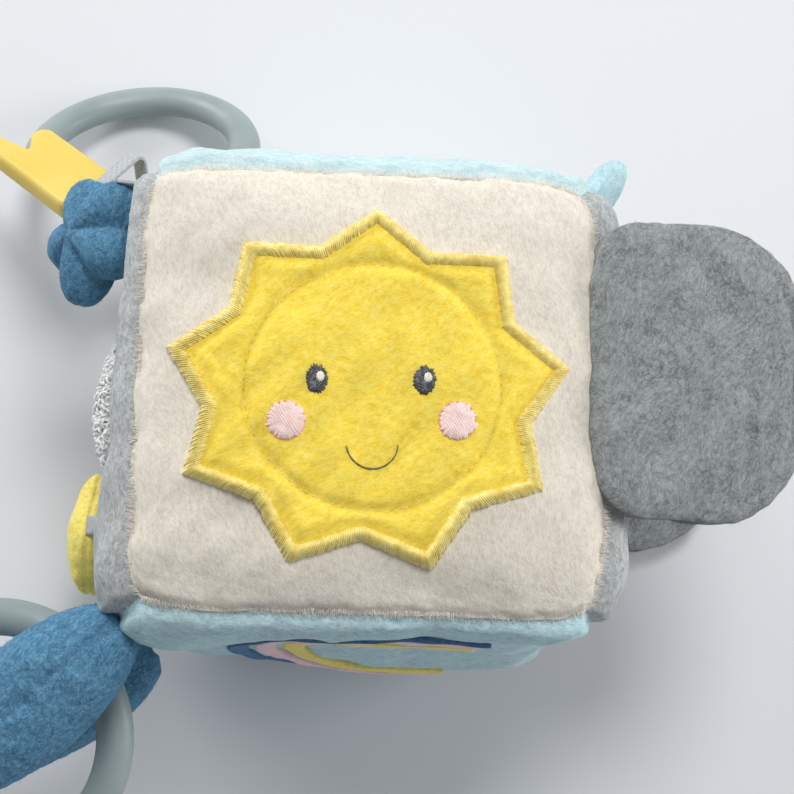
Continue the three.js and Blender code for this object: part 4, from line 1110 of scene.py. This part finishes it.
# Stage and lights, in metres
FLOOR = 40.0
floor_mesh = bpy.data.meshes.new("floor")
corners = [(-FLOOR, -FLOOR, 0), (FLOOR, -FLOOR, 0), (FLOOR, FLOOR, 0), (-FLOOR, FLOOR, 0)]
floor_mesh.from_pydata(corners, [], [[0, 1, 2, 3]])
floor = linked("floor", floor_mesh)
paper = Nodes("floor_paper")
paper.feed(paper.shader, {"Base Color": (0.77, 0.775, 0.79, 1), "Roughness": 0.9, "Specular IOR Level": 0.1})
floor_mesh.materials.append(paper.material)


def lamp(name, place, target, size, power):
    light = bpy.data.lights.new(name, "AREA")
    light.shape = "DISK"
    light.size = size
    light.energy = power
    holder = linked(name, light)
    holder.location = place
    holder.rotation_mode = "QUATERNION"
    holder.rotation_quaternion = (Vector(target) - Vector(place)).to_track_quat("-Z", "Y")


lamp("window", (0.16, 0.9, 1.75), (0, 0, 0.05), 0.7, 19.2)
lamp("right_screen", (1.05, 0.2, 0.36), (0, 0, 0.03), 0.6, 5.4)
lamp("left_screen", (-0.88, 0.8, 0.42), (0, 0, 0.05), 0.6, 8.0)
world = bpy.data.worlds.new("studio")
bpy.context.scene.world = world
world.use_nodes = True
background = world.node_tree.nodes["Background"]
background.inputs["Color"].default_value = (0.9, 0.95, 1.02, 1)
background.inputs["Strength"].default_value = 0.3

# The photograph's camera, with its focal length and aim in pixels
IMAGE = 794
SENSOR = 36
FOCAL = 1728.7
DISTANCE = 450.0
AZIMUTH, ELEVATION, ROLL = 9.3, math.radians(80.74), math.radians(-13.75)
AIM_X, AIM_Y = 358.2, 426.4
forward = math.cos(ELEVATION) * heading(90 - AZIMUTH) - math.sin(ELEVATION) * UP
level_right = heading(-AZIMUTH)
level_up = np.cross(level_right, forward)
right = math.cos(ROLL) * level_right - math.sin(ROLL) * level_up
above = math.sin(ROLL) * level_right + math.cos(ROLL) * level_up
camera_data = bpy.data.cameras.new("camera")
camera = linked("camera", camera_data)
turned = Matrix((right, above, -forward)).transposed().to_4x4()
turned.translation = Vector((BLOCK_MIDDLE - forward * DISTANCE) * MM)
camera.matrix_world = turned
camera_data.sensor_width = SENSOR
camera_data.lens = SENSOR * FOCAL / IMAGE
camera_data.shift_x = (IMAGE / 2 - AIM_X) / IMAGE
camera_data.shift_y = (AIM_Y - IMAGE / 2) / IMAGE
camera_data.clip_start, camera_data.clip_end = 0.01, 50
bpy.context.scene.camera = camera
bpy.context.scene.view_settings.view_transform = "Standard"
